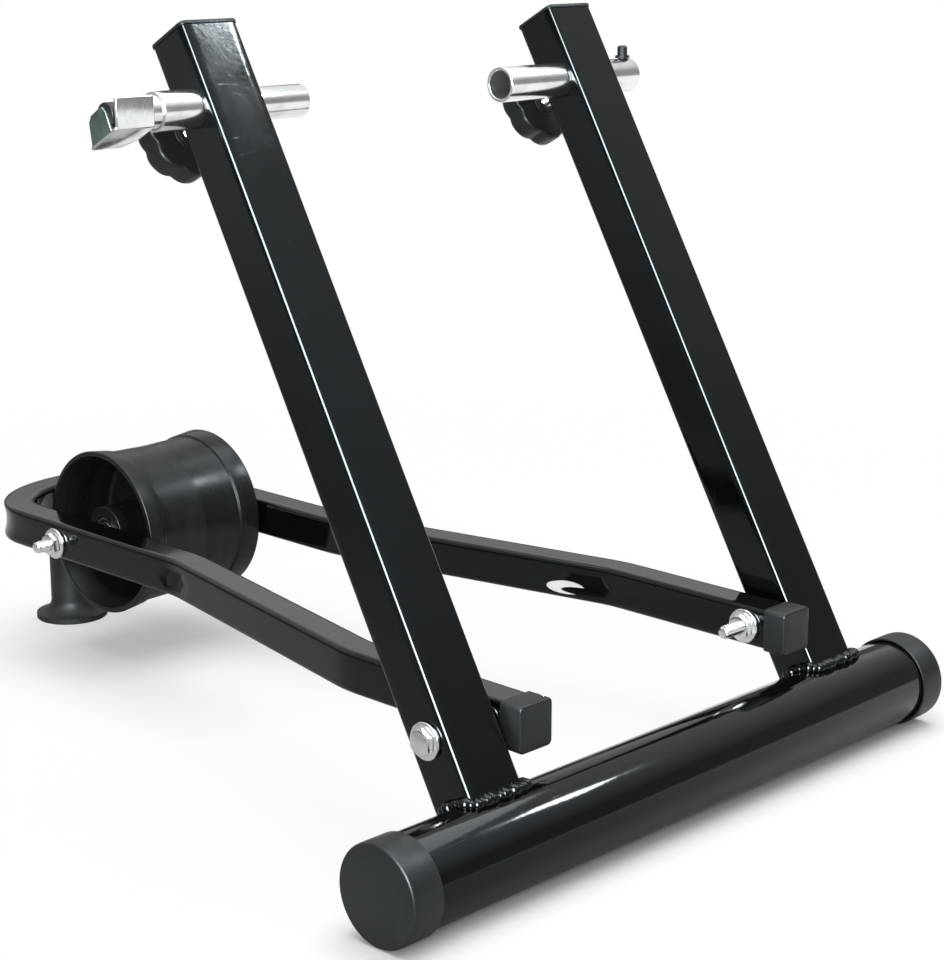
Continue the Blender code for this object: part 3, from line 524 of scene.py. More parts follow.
def geometry_tree(name, **kinds):
    """An empty tree with a geometry input, named sizes, a material and a geometry output."""
    tree = bpy.data.node_groups.new(name, "GeometryNodeTree")
    kinds = {"Geometry": "Geometry", **kinds, "Material": "Material"}
    for label, kind in kinds.items():
        tree.interface.new_socket(label, in_out="INPUT", socket_type="NodeSocket" + kind)
    tree.interface.new_socket("Geometry", in_out="OUTPUT", socket_type="NodeSocketGeometry")
    outputs = put(tree, "NodeGroupInput").outputs
    return tree, {label: Number(tree, outputs[label]) for label in kinds}


def end_tree(tree, given, geometry):
    """Closes a tree with Realize Instances and Set Material."""
    real = put(tree, "GeometryNodeRealizeInstances", {"Geometry": geometry})
    painted = put(tree, "GeometryNodeSetMaterial", {
        "Geometry": real.outputs[0], "Material": given["Material"]})
    put(tree, "NodeGroupOutput", {0: painted.outputs[0]})
    return tree


def about_axis(tree):
    """Each point's X, Y and Z, its angle about Z and its distance from Z."""
    x, y, z = split(tree, put(tree, "GeometryNodeInputPosition").outputs[0])
    flat = put(tree, "ShaderNodeCombineXYZ", {0: x, 1: y}).outputs[0]
    radius = take(tree, "Value", "ShaderNodeVectorMath", {0: flat}, operation="LENGTH")
    return x, y, z, maths(tree, "ARCTAN2", y, x), radius


def draw_in(tree, given, x, y, z, depth):
    """Closes a tree that draws its points towards Z, by this depth at the full radius."""
    share = 1.0 - depth / given["Radius"]
    moved = put(tree, "ShaderNodeCombineXYZ", {0: x * share, 1: y * share, 2: z}).outputs[0]
    shaped = put(tree, "GeometryNodeSetPosition", {
        "Geometry": given["Geometry"], "Position": moved})
    return end_tree(tree, given, shaped.outputs[0])


def thread_tree():
    """Cuts a thread's wave into the side of a round rod along Z."""
    tree, given = geometry_tree("screw_thread", Radius="Float", Depth="Float", Pitch="Float",
                                Start="Float", End="Float")
    x, y, z, angle, radius = about_axis(tree)
    start, end, pitch = given["Start"], given["End"], given["Pitch"]
    phase = maths(tree, "FRACT", z / pitch - angle / (2 * math.pi))
    wave = abs(phase * 2.0 - 1.0)
    ends = graded(tree, z, start, start + pitch) * graded(tree, z, end, end - pitch)
    skin = maths(tree, "GREATER_THAN", radius, given["Radius"] * 0.98)
    return draw_in(tree, given, x, y, z, skin * ends * (wave * given["Depth"]))


def lobe_tree():
    """Cuts narrow valleys between the wide lobes of a round piece, fading towards its middle."""
    tree, given = geometry_tree("knob_lobes", Radius="Float", Valley="Float", Lobes="Int",
                                Turn="Float")
    x, y, z, angle, radius = about_axis(tree)
    wave = abs(maths(tree, "COSINE", (angle - given["Turn"]) * (given["Lobes"] / 2.0)))
    soft = maths(tree, "SQRT", wave * wave + 0.012)
    rim = graded(tree, radius, given["Radius"] * 0.72, given["Radius"],
                 interpolation_type="SMOOTHSTEP")
    narrow = maths(tree, "POWER", 1.0 - soft, 1.35)
    return draw_in(tree, given, x, y, z, given["Valley"] * rim * narrow)


def weld_tree():
    """Lays overlapping ripples of molten metal along a path."""
    tree, given = geometry_tree("weld_ripples", Width="Float", Step="Float", Seed="Int")
    path = put(tree, "GeometryNodeMeshToCurve", {"Mesh": given["Geometry"]})
    even = put(tree, "GeometryNodeResampleCurve", {
        "Curve": path.outputs[0], "Length": given["Step"]}, mode="LENGTH")
    ripple = put(tree, "GeometryNodeMeshIcoSphere", {"Radius": 0.5, "Subdivisions": 3})
    along = put(tree, "GeometryNodeInputTangent").outputs[0]
    turned = put(tree, "FunctionNodeAlignRotationToVector", {"Vector": along}, axis="X")
    uneven = put(tree, "FunctionNodeRandomValue", {2: 0.5, 3: 1.2, "Seed": given["Seed"]})
    wide = given["Width"] * uneven.outputs[1]
    size = put(tree, "ShaderNodeCombineXYZ", {0: wide * 0.95, 1: wide, 2: wide})
    beads = put(tree, "GeometryNodeInstanceOnPoints", {
        "Points": even.outputs[0], "Instance": ripple.outputs[0], "Rotation": turned.outputs[0],
        "Scale": size.outputs[0]})
    return end_tree(tree, given, beads.outputs[0])


TREES = {}


def grow(piece, maker, look, **values):
    """Runs a maker's tree on the piece with these values and keeps the result as plain mesh."""
    if maker not in TREES:
        TREES[maker] = maker()
    step = piece.modifiers.new("grow", "NODES")
    step.node_group = TREES[maker]
    values["Material"] = LOOKS[look]
    for item in step.node_group.interface.items_tree:
        if item.in_out == "INPUT" and item.name in values:
            step[item.identifier] = values[item.name]
    settle(piece)


def threaded_rod(name, profile, start, end, pitch, depth, axes):
    """A turned zinc rod along Z with a thread between start and end."""
    radius = max(point[0] for point in profile)
    rows = []
    for one, two in zip(profile, profile[1:]):
        rows.append(one)
        if abs(one[0] - radius) < TINY and abs(two[0] - radius) < TINY:
            count = max(2, round(abs(two[1] - one[1]) / pitch * 8))
            rows += [(radius, one[1] + (two[1] - one[1]) * k / count) for k in range(1, count)]
    rows.append(profile[-1])
    piece = solid(name, lathe(rows, 48), LEVEL, "zinc_plate", 60.0)
    grow(piece, thread_tree, "zinc_plate", Radius=radius, Depth=depth, Pitch=pitch, Start=start,
         End=end)
    piece.data.transform(axes)
    soften(piece.data, 60.0)
    return piece


def length(name, description, default, low, high, **more):
    return FloatProperty(name=name, description=description, default=default, min=low, max=high,
                         unit="LENGTH", **more)


def shade(name, description, default):
    return FloatVectorProperty(name=name, description=description, default=default, min=0.0,
                               max=1.0, subtype="COLOR")


class TrainerSizes(bpy.types.PropertyGroup):
    """Sizes of the finer shapes, which the frame's solids leave out."""

    tube_corner: length("Upright corner", "Radius of the uprights' corners", 0.003, 0.001, 0.006)
    arm_corner: length("Arm corner", "Radius of the rear frame's corners", 0.003, 0.001, 0.006)
    cap_edge: length("Cap edge", "Radius of the base caps' outer edge", 0.0016, 0.0005, 0.003)
    weld_step: length("Weld ripple", "Distance from one weld ripple to the next",
                      0.0034, 0.001, 0.005)
    weld_seed: IntProperty(
        name="Weld seed", description="Seed of the weld ripples' uneven widths", default=4, min=0)
    thread_pitch: length("Thread pitch", "Pitch of the bolts' and the axle's threads",
                         0.0015, 0.0008, 0.002)
    thread_depth: length("Thread depth", "Depth of the bolts' and the axle's threads",
                         0.0007, 0.0003, 0.001)
    knob_lobes: IntProperty(
        name="Knob lobes", description="Number of lobes round each locking knob",
        default=7, min=3, max=12)
    knob_radius: length("Knob radius", "Radius of the locking knobs over their lobes",
                        0.0244, 0.018, 0.03)
    knob_valley: length("Knob valley", "Depth of the valleys between the knobs' lobes",
                        0.0027, 0.0, 0.005)
    dent_depth: length("Dent depth", "Depth of the dents pressed where the arms are bent",
                       0.0021, 0.0, 0.003)
    bend_draw: length("Bend draw-in", "How far the outer wall is drawn in round the rear bend",
                      0.0024, 0.0, 0.004)


class TrainerFinishes(bpy.types.PropertyGroup):
    """Colours and grain of the stand's finishes."""

    paint: shade("Paint", "Colour of the gloss paint on the tubes", (0.0020, 0.0026, 0.0032))
    peel: length("Orange peel", "Height of the paint's orange peel", 0.00002, 0.0, 0.0002,
                 precision=6)
    plastic: shade("Plastic", "Colour of the caps and plugs", (0.013, 0.0145, 0.0155))
    knob: shade("Knob", "Colour of the locking knobs", (0.0150, 0.0165, 0.0175))
    zinc: shade("Zinc", "Colour of the zinc plating", (0.80, 0.82, 0.83))
    dull_zinc: shade("Dull zinc", "Colour of the lever's end plate", (0.17, 0.23, 0.21))
    drum: shade("Drum", "Colour of the roller drum", (0.0105, 0.0120, 0.0128))
    rubber: shade("Foot", "Colour of the rear foot", (0.013, 0.0145, 0.0150))
    # The bearings' steel is darkened as painted shade, for the recess of the drum it sits in
    steel: shade("Bearing", "Colour of the bearings' steel", (0.11, 0.115, 0.12))


class TRAINER_OT_stage(bpy.types.Operator):
    """Make the camera, the floor, the world and the lamps"""
    bl_idname = "trainer.stage"
    bl_label = "Stage"

    def execute(self, context):
        context.scene.view_settings.view_transform = "Standard"
        camera()
        floor()
        surroundings()
        lamp("key_lamp", (-1.25, -1.12, 0.60), (0.0, -0.15, 0.15), 0.50, 0.26, 8.0)
        lamp("top_lamp", (0.2, -0.1, 2.4), (0.0, 0.0, 0.0), 2.2, 2.2, 48.0)
        lamp("edge_sheen", (-1.31, -1.0, 0.92), (-0.14, -0.2, 0.22), 0.85, 1.25, 160.0, True)
        lamp("tube_sheen", (1.33, -0.92, 1.85), (-0.19, -0.28, 0.05), 0.26, 0.3, 15.0, True)
        return {"FINISHED"}


def camera():
    """The photograph's view: its place, heading and lens."""
    heading, pitch, roll = math.radians(45.52), math.radians(-10.99), math.radians(-0.71)
    data = bpy.data.cameras.new("camera")
    data.sensor_width = 36.0
    data.lens = 84.66
    data.shift_x = 0.0144
    data.shift_y = -0.1065
    data.clip_start = 0.05
    thing = show("camera", data)
    thing.matrix_world = (at((-0.9238, -1.0251, 0.4786)) @ Matrix.Rotation(-heading, 4, "Z")
                          @ Matrix.Rotation(QUARTER + pitch, 4, "X")
                          @ Matrix.Rotation(roll, 4, "Z"))
    bpy.context.scene.camera = thing


def floor():
    """A plain pale floor. Rays from the camera and from gloss see it nearly white."""
    mesh = bpy.data.meshes.new("floor")
    reach = 12.0
    mesh.from_pydata([(-reach, -reach, 0), (reach, -reach, 0), (reach, reach, 0),
                      (-reach, reach, 0)], [], [(0, 1, 2, 3)])
    made = bpy.data.materials.new("floor")
    made.use_nodes = True
    tree = made.node_tree
    tree.nodes.clear()
    place = take(tree, "Object", "ShaderNodeTexCoord")
    x, y, _ = split(tree, place)

    def distance(spot):
        return take(tree, "Value", "ShaderNodeVectorMath", {0: place, 1: spot},
                    operation="DISTANCE")

    path = {ray: take(tree, f"Is {ray} Ray", "ShaderNodeLightPath")
            for ray in ("Camera", "Glossy", "Transmission")}
    mirrored = maths(tree, "MAXIMUM", path["Glossy"], path["Transmission"])
    # In gloss the floor darkens to the left, so that tubes turned that way look dark
    in_gloss = (graded(tree, x, -0.6, 0.5, 0.32, 1.1)
                + graded(tree, x, -2.0, -0.7, 0.3, 0.0))
    strength = blend(tree, mirrored, 1.0, in_gloss)
    white = put(tree, "ShaderNodeEmission", {"Color": (1.0, 1.0, 1.0, 1.0), "Strength": strength})
    pale = strength * 0.86
    colour = put(tree, "ShaderNodeCombineColor", {0: pale, 1: pale, 2: pale})
    shaded = put(tree, "ShaderNodeBsdfDiffuse", {"Color": colour.outputs[0]})
    # Shadows show under the roller, near the stand and close beside the base tube
    around = distance((0.0, 0.0, 0.0))
    by_eye = maths(tree, "MINIMUM", graded(tree, distance((0.02, 0.17, 0.0)), 0.06, 0.24, 0.3, 1.0),
                   graded(tree, around, 0.42, 1.1, 0.86, 1.0))
    by_eye = maths(tree, "MINIMUM", by_eye, graded(tree, abs(y - BASE.y), 0.012, 0.05))
    share = blend(tree, mirrored, by_eye, graded(tree, around, 0.42, 1.1))
    seen = maths(tree, "MAXIMUM", path["Camera"], mirrored)
    both = put(tree, "ShaderNodeMixShader", {0: seen * share, 1: shaded.outputs[0],
                                             2: white.outputs[0]})
    put(tree, "ShaderNodeOutputMaterial", {"Surface": both.outputs[0]})
    mesh.materials.append(made)
    show("floor", mesh)


def surroundings():
    """A white world for the camera, softer light on the stand and a graded one in its gloss."""
    world = bpy.data.worlds.new("studio")
    world.use_nodes = True
    tree = world.node_tree
    tree.nodes.clear()
    camera_ray = take(tree, "Is Camera Ray", "ShaderNodeLightPath")
    glossy_ray = take(tree, "Is Glossy Ray", "ShaderNodeLightPath")
    _, y, z = split(tree, take(tree, "Generated", "ShaderNodeTexCoord"))
    front = graded(tree, z, 0.33, 0.72, 0.3, 1.15)
    rear = graded(tree, z, 0.2, 0.31, 0.16, 0.9)
    behind = graded(tree, y, -0.1, 0.45, interpolation_type="SMOOTHSTEP")
    on_stand = 0.5
    lit = (1.0 - camera_ray) * on_stand
    gloss = glossy_ray * (blend(tree, behind, front, rear) - on_stand)
    glow = put(tree, "ShaderNodeBackground", {
        "Color": (1.0, 1.0, 1.0, 1.0), "Strength": camera_ray + (lit + gloss)})
    put(tree, "ShaderNodeOutputWorld", {"Surface": glow.outputs[0]})
    bpy.context.scene.world = world


def lamp(name, place, target, width, height, power, sheen=False):
    """A soft box that faces its target. A sheen lamp shows in gloss alone."""
    data = bpy.data.lights.new(name, "AREA")
    data.shape = "RECTANGLE"
    data.size = width
    data.size_y = height
    data.energy = power
    thing = show(name, data)
    away = Vector(place) - Vector(target)
    thing.matrix_world = at(place) @ away.to_track_quat("Z", "Y").to_matrix().to_4x4()
    thing.visible_camera = False
    thing.visible_diffuse = not sheen


class TRAINER_OT_base_tube(bpy.types.Operator):
    """Make the base tube with its two push-on caps"""
    bl_idname = "trainer.base_tube"
    bl_label = "Base tube and caps"

    def execute(self, context):
        prepare_looks()
        radius = Span("base_tube").size.z / 2
        tube("base_tube_painted", "base_tube", "stand", radius - TUBE_WALL, "gloss_black_paint",
             "black_paint", 0.0004, 128)
        for side in SIDES:
            base_cap(side, radius, context.scene.trainer_sizes.cap_edge)
        return {"FINISHED"}


def base_cap(side, tube_radius, edge):
    """A push-on cap with a rounded end and a slightly belled mouth."""
    span = Span("base_cap_" + side)
    outer, depth, mouth, floor_depth = span.size.z / 2, span.size.x, tube_radius + 0.0003, 0.003
    end = span.high.x if side == "right" else span.low.x
    axes = at((end, BASE.y, BASE.z)) @ Matrix.Rotation(SIDES[side] * QUARTER, 4, "Y")
    outline = [(0.0, 0.0), (outer - 0.0002, 0.0), (outer, -0.004), (outer, -depth),
               (mouth, -depth), (mouth, -floor_depth), (0.0, -floor_depth)]
    profile = rounded(outline, [0, edge, 0.002, 0.0005, 0.0002, 0.0005, 0], 5, closed=False)
    place_solid("base_cap_moulded_" + side, lathe(profile, 128), axes, "black_plastic", "stand",
                "black_plastic", "base_cap_" + side)


class TRAINER_OT_uprights(bpy.types.Operator):
    """Make both uprights with their top plugs and weld beads"""
    bl_idname = "trainer.uprights"
    bl_label = "Uprights, plugs and welds"

    def execute(self, context):
        prepare_looks()
        sizes = context.scene.trainer_sizes
        for side in SIDES:
            upright(side, sizes.tube_corner)
            top_plug(side, sizes.tube_corner)
            weld_bead(side, sizes)
        return {"FINISHED"}


def upright(side, corner):
    """A rectangular tube, coped over the base tube and bored as its node is."""
    span = Span("upright_" + side, LEANING)
    here = span.middle
    cope = Span("base_tube", LEANING).size.z / 2 + 0.0003
    rings = []
    for inset in (0.0, TUBE_WALL):
        outline = rounded_box(span.size.x - 2 * inset, span.size.y - 2 * inset,
                              corner - 0.75 * inset, 6, 8)
        points = [(x + here.x, y + here.y) for x, y in outline]
        foot = [Vector((x, y, math.sqrt(cope * cope - y * y))) for x, y in points]
        top = levelled(points, span.high.z)
        rings += [foot, top] if inset else [top, foot]
    piece = solid("upright_painted_" + side, loft(rings, closed=True), LEANING,
                  "gloss_black_paint")
    clamp = Span("clamp_sleeve_left" if side == "left" else "clamp_tube_right")
    screw = Span("lock_screw_" + side, LEANING).middle
    across = (LEANING @ Vector((here.x, 0.0, 0.0))).x
    reach = 2 * span.size.x
    carve(piece, [
        bar(clamp.size.z / 2 + 0.0002, reach, along_x((across, clamp.middle.y, clamp.middle.z))),
        bar(BORE, reach, along_x((across, PIVOT.y, PIVOT.z))),
        bar(BORE, span.size.y, at((screw.x, span.high.y, screw.z), LEANING) @ ALONG_Y)])
    stands_for(piece, "stand", "black_paint", "upright_" + side)


def top_plug(side, corner):
    """A moulded plug: a softly domed flange over the tube, and its spigot."""
    span = Span("top_plug_" + side, LEANING)
    top = span.high.z
    seat = Span("upright_" + side, LEANING).high.z + 0.0003
    rings = []
    for inset, height in ((0.0023, span.low.z + 0.0005), (0.0023, seat), (0.0, seat),
                          (0.0, top - 0.0009), (0.00012, top - 0.0005), (0.00045, top - 0.00018),
                          (0.0011, top - 0.00006), (0.009, top)):
        outline = rounded_box(span.size.x - 2 * inset, span.size.y - 2 * inset,
                              max(corner + 0.0007 - inset, 0.0008), 6, 3)
        rings.append(levelled([(x + span.middle.x, y + span.middle.y) for x, y in outline], height))
    place_solid("top_plug_moulded_" + side, loft(rings), LEANING, "black_plastic", "stand",
                "black_plastic", "top_plug_" + side)


def weld_bead(side, sizes):
    """Ripples of weld laid round the upright's foot, on the base tube."""
    span = Span("upright_" + side, LEANING)
    around = (span.size + Span("weld_bead_" + side, LEANING).size) / 2
    radius = Span("base_tube", LEANING).size.z / 2 + 0.0013
    outline = rounded_box(around.x - 0.0014, around.y - 0.0014, sizes.tube_corner + 0.001, 4, 8)
    points = []
    for x, y in outline:
        y += span.middle.y
        points.append((x + span.middle.x, y, math.sqrt(max(radius ** 2 - y * y, 0.0))))
    count = len(points)
    mesh = bpy.data.meshes.new("weld_path")
    mesh.from_pydata(points, [(i, (i + 1) % count) for i in range(count)], [])
    piece = show("weld_bead_rippled_" + side, mesh)
    grow(piece, weld_tree, "gloss_black_paint", Width=0.0078, Step=sizes.weld_step,
         Seed=sizes.weld_seed)
    piece.data.transform(LEANING)
    soften(piece.data, 80.0)
    stands_for(piece, "stand", "black_paint", "weld_bead_" + side)


class TRAINER_OT_left_clamp(bpy.types.Operator):
    """Make the left clamp's sleeve, sliding pin and folded lever"""
    bl_idname = "trainer.left_clamp"
    bl_label = "Left clamp"

    def execute(self, context):
        prepare_looks()
        pin = Span("clamp_pin_left")
        radius = pin.size.z / 2
        tube("clamp_sleeve_plated", "clamp_sleeve_left", "stand", radius + 0.0001)
        tube("clamp_pin_plated", "clamp_pin_left", "left_pin", radius - 0.0023, edge=0.0006)
        clamp_lever(Span("clamp_sleeve_left").middle, pin.low.x, radius - 0.0024)
        return {"FINISHED"}


def plate(name, outline, axes, look="zinc_plate", edge=0.0005, *nodes):
    """A flat sheet piece of the lever from an outline in X and Y, with its edges broken."""
    rings = [levelled(outline, 0.0), levelled(outline, SHEET)]
    piece = solid(name, loft(rings), LEVEL, look)
    step = piece.modifiers.new("edge", "BEVEL")
    step.width = edge
    step.segments = 3
    settle(piece)
    piece.data.transform(axes)
    soften(piece.data, 50.0)
    stands_for(piece, "left_lever", "zinc_plate", *nodes)


def clamp_lever(clamp, pin_start, spindle_radius):
    """The folded lever: front web, flange under it, end plate, and the spindle in the pin."""
    long, forward, drop, rise, fold_depth = 0.025, 0.0118, 0.0067, 0.0098, 0.0245
    inner = pin_start - 0.0015
    outer = inner - long
    stand_up = Matrix.Rotation(QUARTER, 4, "X")
    plate("lever_web", [(outer + 0.0010, -drop), (inner, -drop), (inner, rise - 0.001),
                        (inner - 0.001, rise), (outer + 0.0002, rise)],
          at((0.0, clamp.y - forward + SHEET, clamp.z)) @ stand_up, "zinc_plate", 0.0005,
          "clamp_lever_left")
    fold = at((outer, clamp.y - forward, clamp.z - drop)) @ Matrix.Rotation(-LEAN, 4, "X")
    plate("lever_flange", [(0.0, 0.0), (long, 0.0), (long, 0.016), (long - 0.006, fold_depth),
                           (0.0, fold_depth)], fold, edge=0.0006)
    plate("lever_end_plate", [
        (0.0040, SHEET / 2), (0.0036, 0.0120), (0.0052, 0.0158), (0.0080, 0.0162),
        (0.0160, 0.0158), (0.0192, 0.0135), (0.0235, SHEET / 2)],
        fold @ Matrix.Rotation(QUARTER, 4, "Z") @ stand_up, "dull_zinc")
    # The spindle takes the black plastic as painted shade, so that the slit round it shows dark
    profile = rounded([(0.0, 0.0), (spindle_radius, 0.0), (spindle_radius, 0.048), (0.0, 0.048)],
                      [0, 0.0006, 0.0006, 0], 3, closed=False)
    place_solid("lever_spindle", lathe(profile, SMALL_ROUND),
                along_x((outer + SHEET - 0.0002, clamp.y, clamp.z)), "black_plastic",
                "left_lever", "zinc_plate")


class TRAINER_OT_right_clamp(bpy.types.Operator):
    """Make the right clamp's sliding tube and its peg"""
    bl_idname = "trainer.right_clamp"
    bl_label = "Right clamp"

    def execute(self, context):
        prepare_looks()
        radius = Span("clamp_tube_right").size.z / 2
        tube("clamp_tube_plated", "clamp_tube_right", "right_tube", radius - TUBE_WALL)
        dress("clamp_peg_right", "black_plastic")
        return {"FINISHED"}


class TRAINER_OT_locking_knobs(bpy.types.Operator):
    """Make the locking knobs with their screws and nuts"""
    bl_idname = "trainer.locking_knobs"
    bl_label = "Locking knobs"

    def execute(self, context):
        prepare_looks()
        for side in SIDES:
            locking_knob(side, context.scene.trainer_sizes)
        return {"FINISHED"}


def locking_knob(side, sizes):
    """A lobed knob on a threaded screw, and the nut on the upright's rear face."""
    screw, nut_span = (Span(name + side, LEANING) for name in ("lock_screw_", "lock_nut_"))
    axes = at((screw.middle.x, 0.0, screw.middle.z), LEANING) @ ALONG_Y
    radius = screw.size.x / 2
    rim, thickness, hub = sizes.knob_radius, 0.014, 0.008
    grip = Span("upright_" + side, LEANING).high.y + 0.0188
    start, end = grip - 0.0024, grip + thickness
    bore, depth = radius + 0.0003, screw.high.y + 0.0003
    outline = [(0.0, end - 0.0012), (rim - 0.007, end - 0.0008), (rim - 0.0052, end),
               (rim - 0.0004, end), (rim, end - 0.004), (rim, grip), (hub, grip), (hub, start),
               (bore, start), (bore, depth), (0.0, depth)]
    radii = [0, 0.001, 0.0008, 0.0022, 0.003, 0.0022, 0.0008, 0.0004, 0.0004, 0, 0]
    piece = solid("locking_knob_" + side, lathe(rounded(outline, radii, 4, closed=False), 168),
                  LEVEL, "knob_plastic")
    grow(piece, lobe_tree, "knob_plastic", Radius=rim, Valley=sizes.knob_valley,
         Lobes=sizes.knob_lobes, Turn=math.radians(-8.6))
    piece.data.transform(axes)
    soften(piece.data, 50.0)
    stands_for(piece, side + "_knob", "black_plastic", "lock_knob_" + side)
    first, last = screw.low.y, screw.high.y
    profile = [(0.0, first), (radius - 0.001, first), (radius, first + 0.001), (radius, last),
               (0.0, last)]
    rod = threaded_rod("locking_screw_" + side, profile, first, last - 0.006, 0.00125, 0.0006,
                       axes)
    stands_for(rod, side + "_screw", "zinc_plate", "lock_screw_" + side)
    nut = hex_body(min(nut_span.size.z, nut_span.size.x), nut_span.low.y, nut_span.high.y, axes)
    carve(nut, [bar(radius + 0.00015, 0.05, axes)])
    nut.name = "locking_nut_" + side
    stands_for(nut, "stand", "zinc_plate", "lock_nut_" + side)


class TRAINER_OT_pivots(bpy.types.Operator):
    """Make the pivots' bolts, washers, spacers and nuts"""
    bl_idname = "trainer.pivots"
    bl_label = "Pivots"

    def execute(self, context):
        prepare_looks()
        for side, sign in SIDES.items():
            hex_bolt("pivot_bolt_plated_" + side, "pivot_bolt_" + side, "stand", sign,
                     context.scene.trainer_sizes)
            for kind in ("pivot_washer_outer", "pivot_washer_inner", "pivot_spacer"):
                washer(kind + "_plated_" + side, kind + "_" + side, "stand")
            hex_nut("pivot_nut_plated_" + side, "pivot_nut_" + side, "stand", sign)
        return {"FINISHED"}


def hex_bolt(name, node, body, sign, sizes):
    """A bolt along X with a turned and chamfered hexagon head and a threaded end."""
    span = Span(node)
    out, tip = (span.high.x, span.low.x) if sign > 0 else (-span.low.x, -span.high.x)
    axes = at((0.0, span.middle.y, span.middle.z)) @ Matrix.Rotation(sign * QUARTER, 4, "Y")
    head_top, head_face = out - HEX_RELIEF, out - HEX_HEAD
    profile = [(0.0, head_top - 0.001), (SHANK, head_top - 0.001), (SHANK, tip + 0.0022),
               (SHANK - 0.0004, tip + 0.0011), (SHANK - 0.0012, tip + 0.0003),
               (SHANK - 0.0022, tip), (0.0, tip)]
    bolt = threaded_rod(name, profile, tip - 0.002, tip + 0.026, sizes.thread_pitch,
                        sizes.thread_depth, axes)
    carve(bolt, [hex_body(HEX_ACROSS, head_face, head_top, axes)], "UNION")
    stands_for(bolt, body, "zinc_plate", node)


def hex_nut(name, node, body, sign):
    """A hexagon nut along X, thinner than its node, against the washer on its sign's side."""
    span = Span(node)
    low, high = span.low.x, span.high.x
    ends = (high - THIN_NUT, high) if sign > 0 else (low, low + THIN_NUT)
    nut = hex_body(HEX_ACROSS, *ends, along_x((0.0, span.middle.y, span.middle.z)), True)
    carve(nut, [bar(SHANK + 0.0002, 0.05, along_x(span.middle))])
    nut.name = name
    stands_for(nut, body, "zinc_plate", node)


class TRAINER_OT_rear_frame(bpy.types.Operator):
    """Make the bent rear frame with its two front caps"""
    bl_idname = "trainer.rear_frame"
    bl_label = "Rear frame"

    def execute(self, context):
        prepare_looks()
        sizes = context.scene.trainer_sizes
        rear_frame(sizes)
        for side in SIDES:
            arm_cap(side, sizes.arm_corner)
        return {"FINISHED"}


def route(arm_place):
    """The middle line of the U's left half, from the pivot to the rear, finer at the dents."""
    corners = [(-arm_place, 0.0), (-arm_place, FRONT_KINK), (-REAR_HALF_WIDTH, REAR_KINK),
               (-REAR_HALF_WIDTH, BEND_START)]
    coarse = [Vector(point) for point in rounded(corners, KINK_RADIUS, 8, closed=False)]
    line = []
    for one, two in zip(coarse, coarse[1:]):
        parts = max(1, round((two - one).length / 0.0014))
        fine = [one.lerp(two, k / parts) for k in range(parts)]
        line += [p for k, p in enumerate(fine)
                 if k % 9 == 0 or any(abs(p.y - dent) < 0.028 for dent in DENTS.values())]
    turns = 30
    for step in range(turns):
        angle = QUARTER * step / turns
        line.append(Vector((-REAR_HALF_WIDTH * math.cos(angle),
                            BEND_START + BEND_DEPTH * math.sin(angle))))
    return line


def rear_frame(sizes):
    """The U-shaped tube: hollow, pressed in at its kinks and drawn in along its bend."""
    width, height, wall = 0.0226, 0.0242, 0.0018
    arm_place = (Span("rear_frame", FOLDING).size.x - width) / 2
    half = route(arm_place)
    fronts = {side: Span("arm_cap_" + side, FOLDING).low.y + 0.0033 for side in SIDES}
    line = [Vector((-arm_place, fronts["left"]))] + half
    line.append(Vector((0.0, BEND_START + BEND_DEPTH)))
    line += [Vector((-p.x, p.y)) for p in reversed(half)] + [Vector((arm_place, fronts["right"]))]
    rings = []
    for inset in (0.0, wall):
        outline = rounded_box(width - 2 * inset, height - 2 * inset,
                              sizes.arm_corner - 0.8 * inset, 5, 14)
        made = []
        for i, place in enumerate(line):
            along = (line[min(i + 1, len(line) - 1)] - line[max(i - 1, 0)]).normalized()
            out = Vector((-along.y, along.x))
            made.append([frame_point(place, out, u, w, sizes) for u, w in outline])
        rings += made[::-1] if inset else made
    # The frame's paint carries the painted highlight in the right arm's dent
    piece = solid("rear_frame_painted", loft(rings, closed=True), FOLDING, "black_paint_with_dent_highlight")
    screw = Span("foot_screw")
    carve(piece, [
        bar(BORE, 0.5, along_x((ACROSS, PIVOT.y, PIVOT.z))),
        bar(BORE, 0.3, along_x((ACROSS, AXLE.y, AXLE.z))),
        bar(BORE, 0.024, at((screw.middle.x, screw.middle.y, screw.high.z)))])
    stands_for(piece, "folding_frame", "black_paint", "rear_frame")


def eased(value):
    """The value held between 0 and 1, with a soft start and end."""
    value = max(0.0, min(1.0, value))
    return value * value * (3 - 2 * value)


def frame_point(place, out, across, up, sizes):
    """A point of the tube's section, drawn in where the bend is and pressed in at the dents."""
    on_wall = 0.008
    if across > on_wall:
        flat = 1.0 - min(1.0, abs(up) / 0.0121) ** 2
        across -= sizes.bend_draw * flat * eased((place.y - BEND_START + 0.012) / 0.028)
    side = "left" if place.x < 0 else "right"
    # The left arm is pressed in from outside the U, the right one from inside it
    if -SIDES[side] * across > on_wall:
        ahead = place.y - DENTS[side]
        rise = abs(up + DENT_DROP) / DENT_HALF_HEIGHT
        edge = 1.0 - max(rise, abs(ahead) / DENT_REACH[side] + 0.35 * rise)
        lip = math.exp(-((edge + 0.12) / 0.08) ** 2) * (1.0 if ahead < 0 else 0.3)
        slope = 0.75 + 100.0 * (up + DENT_DROP)
        press = sizes.dent_depth * slope * eased(edge / 0.18) - 0.0004 * lip
        across -= math.copysign(press, across)
    spot = place + out * across
    return Vector((spot.x, spot.y, up))


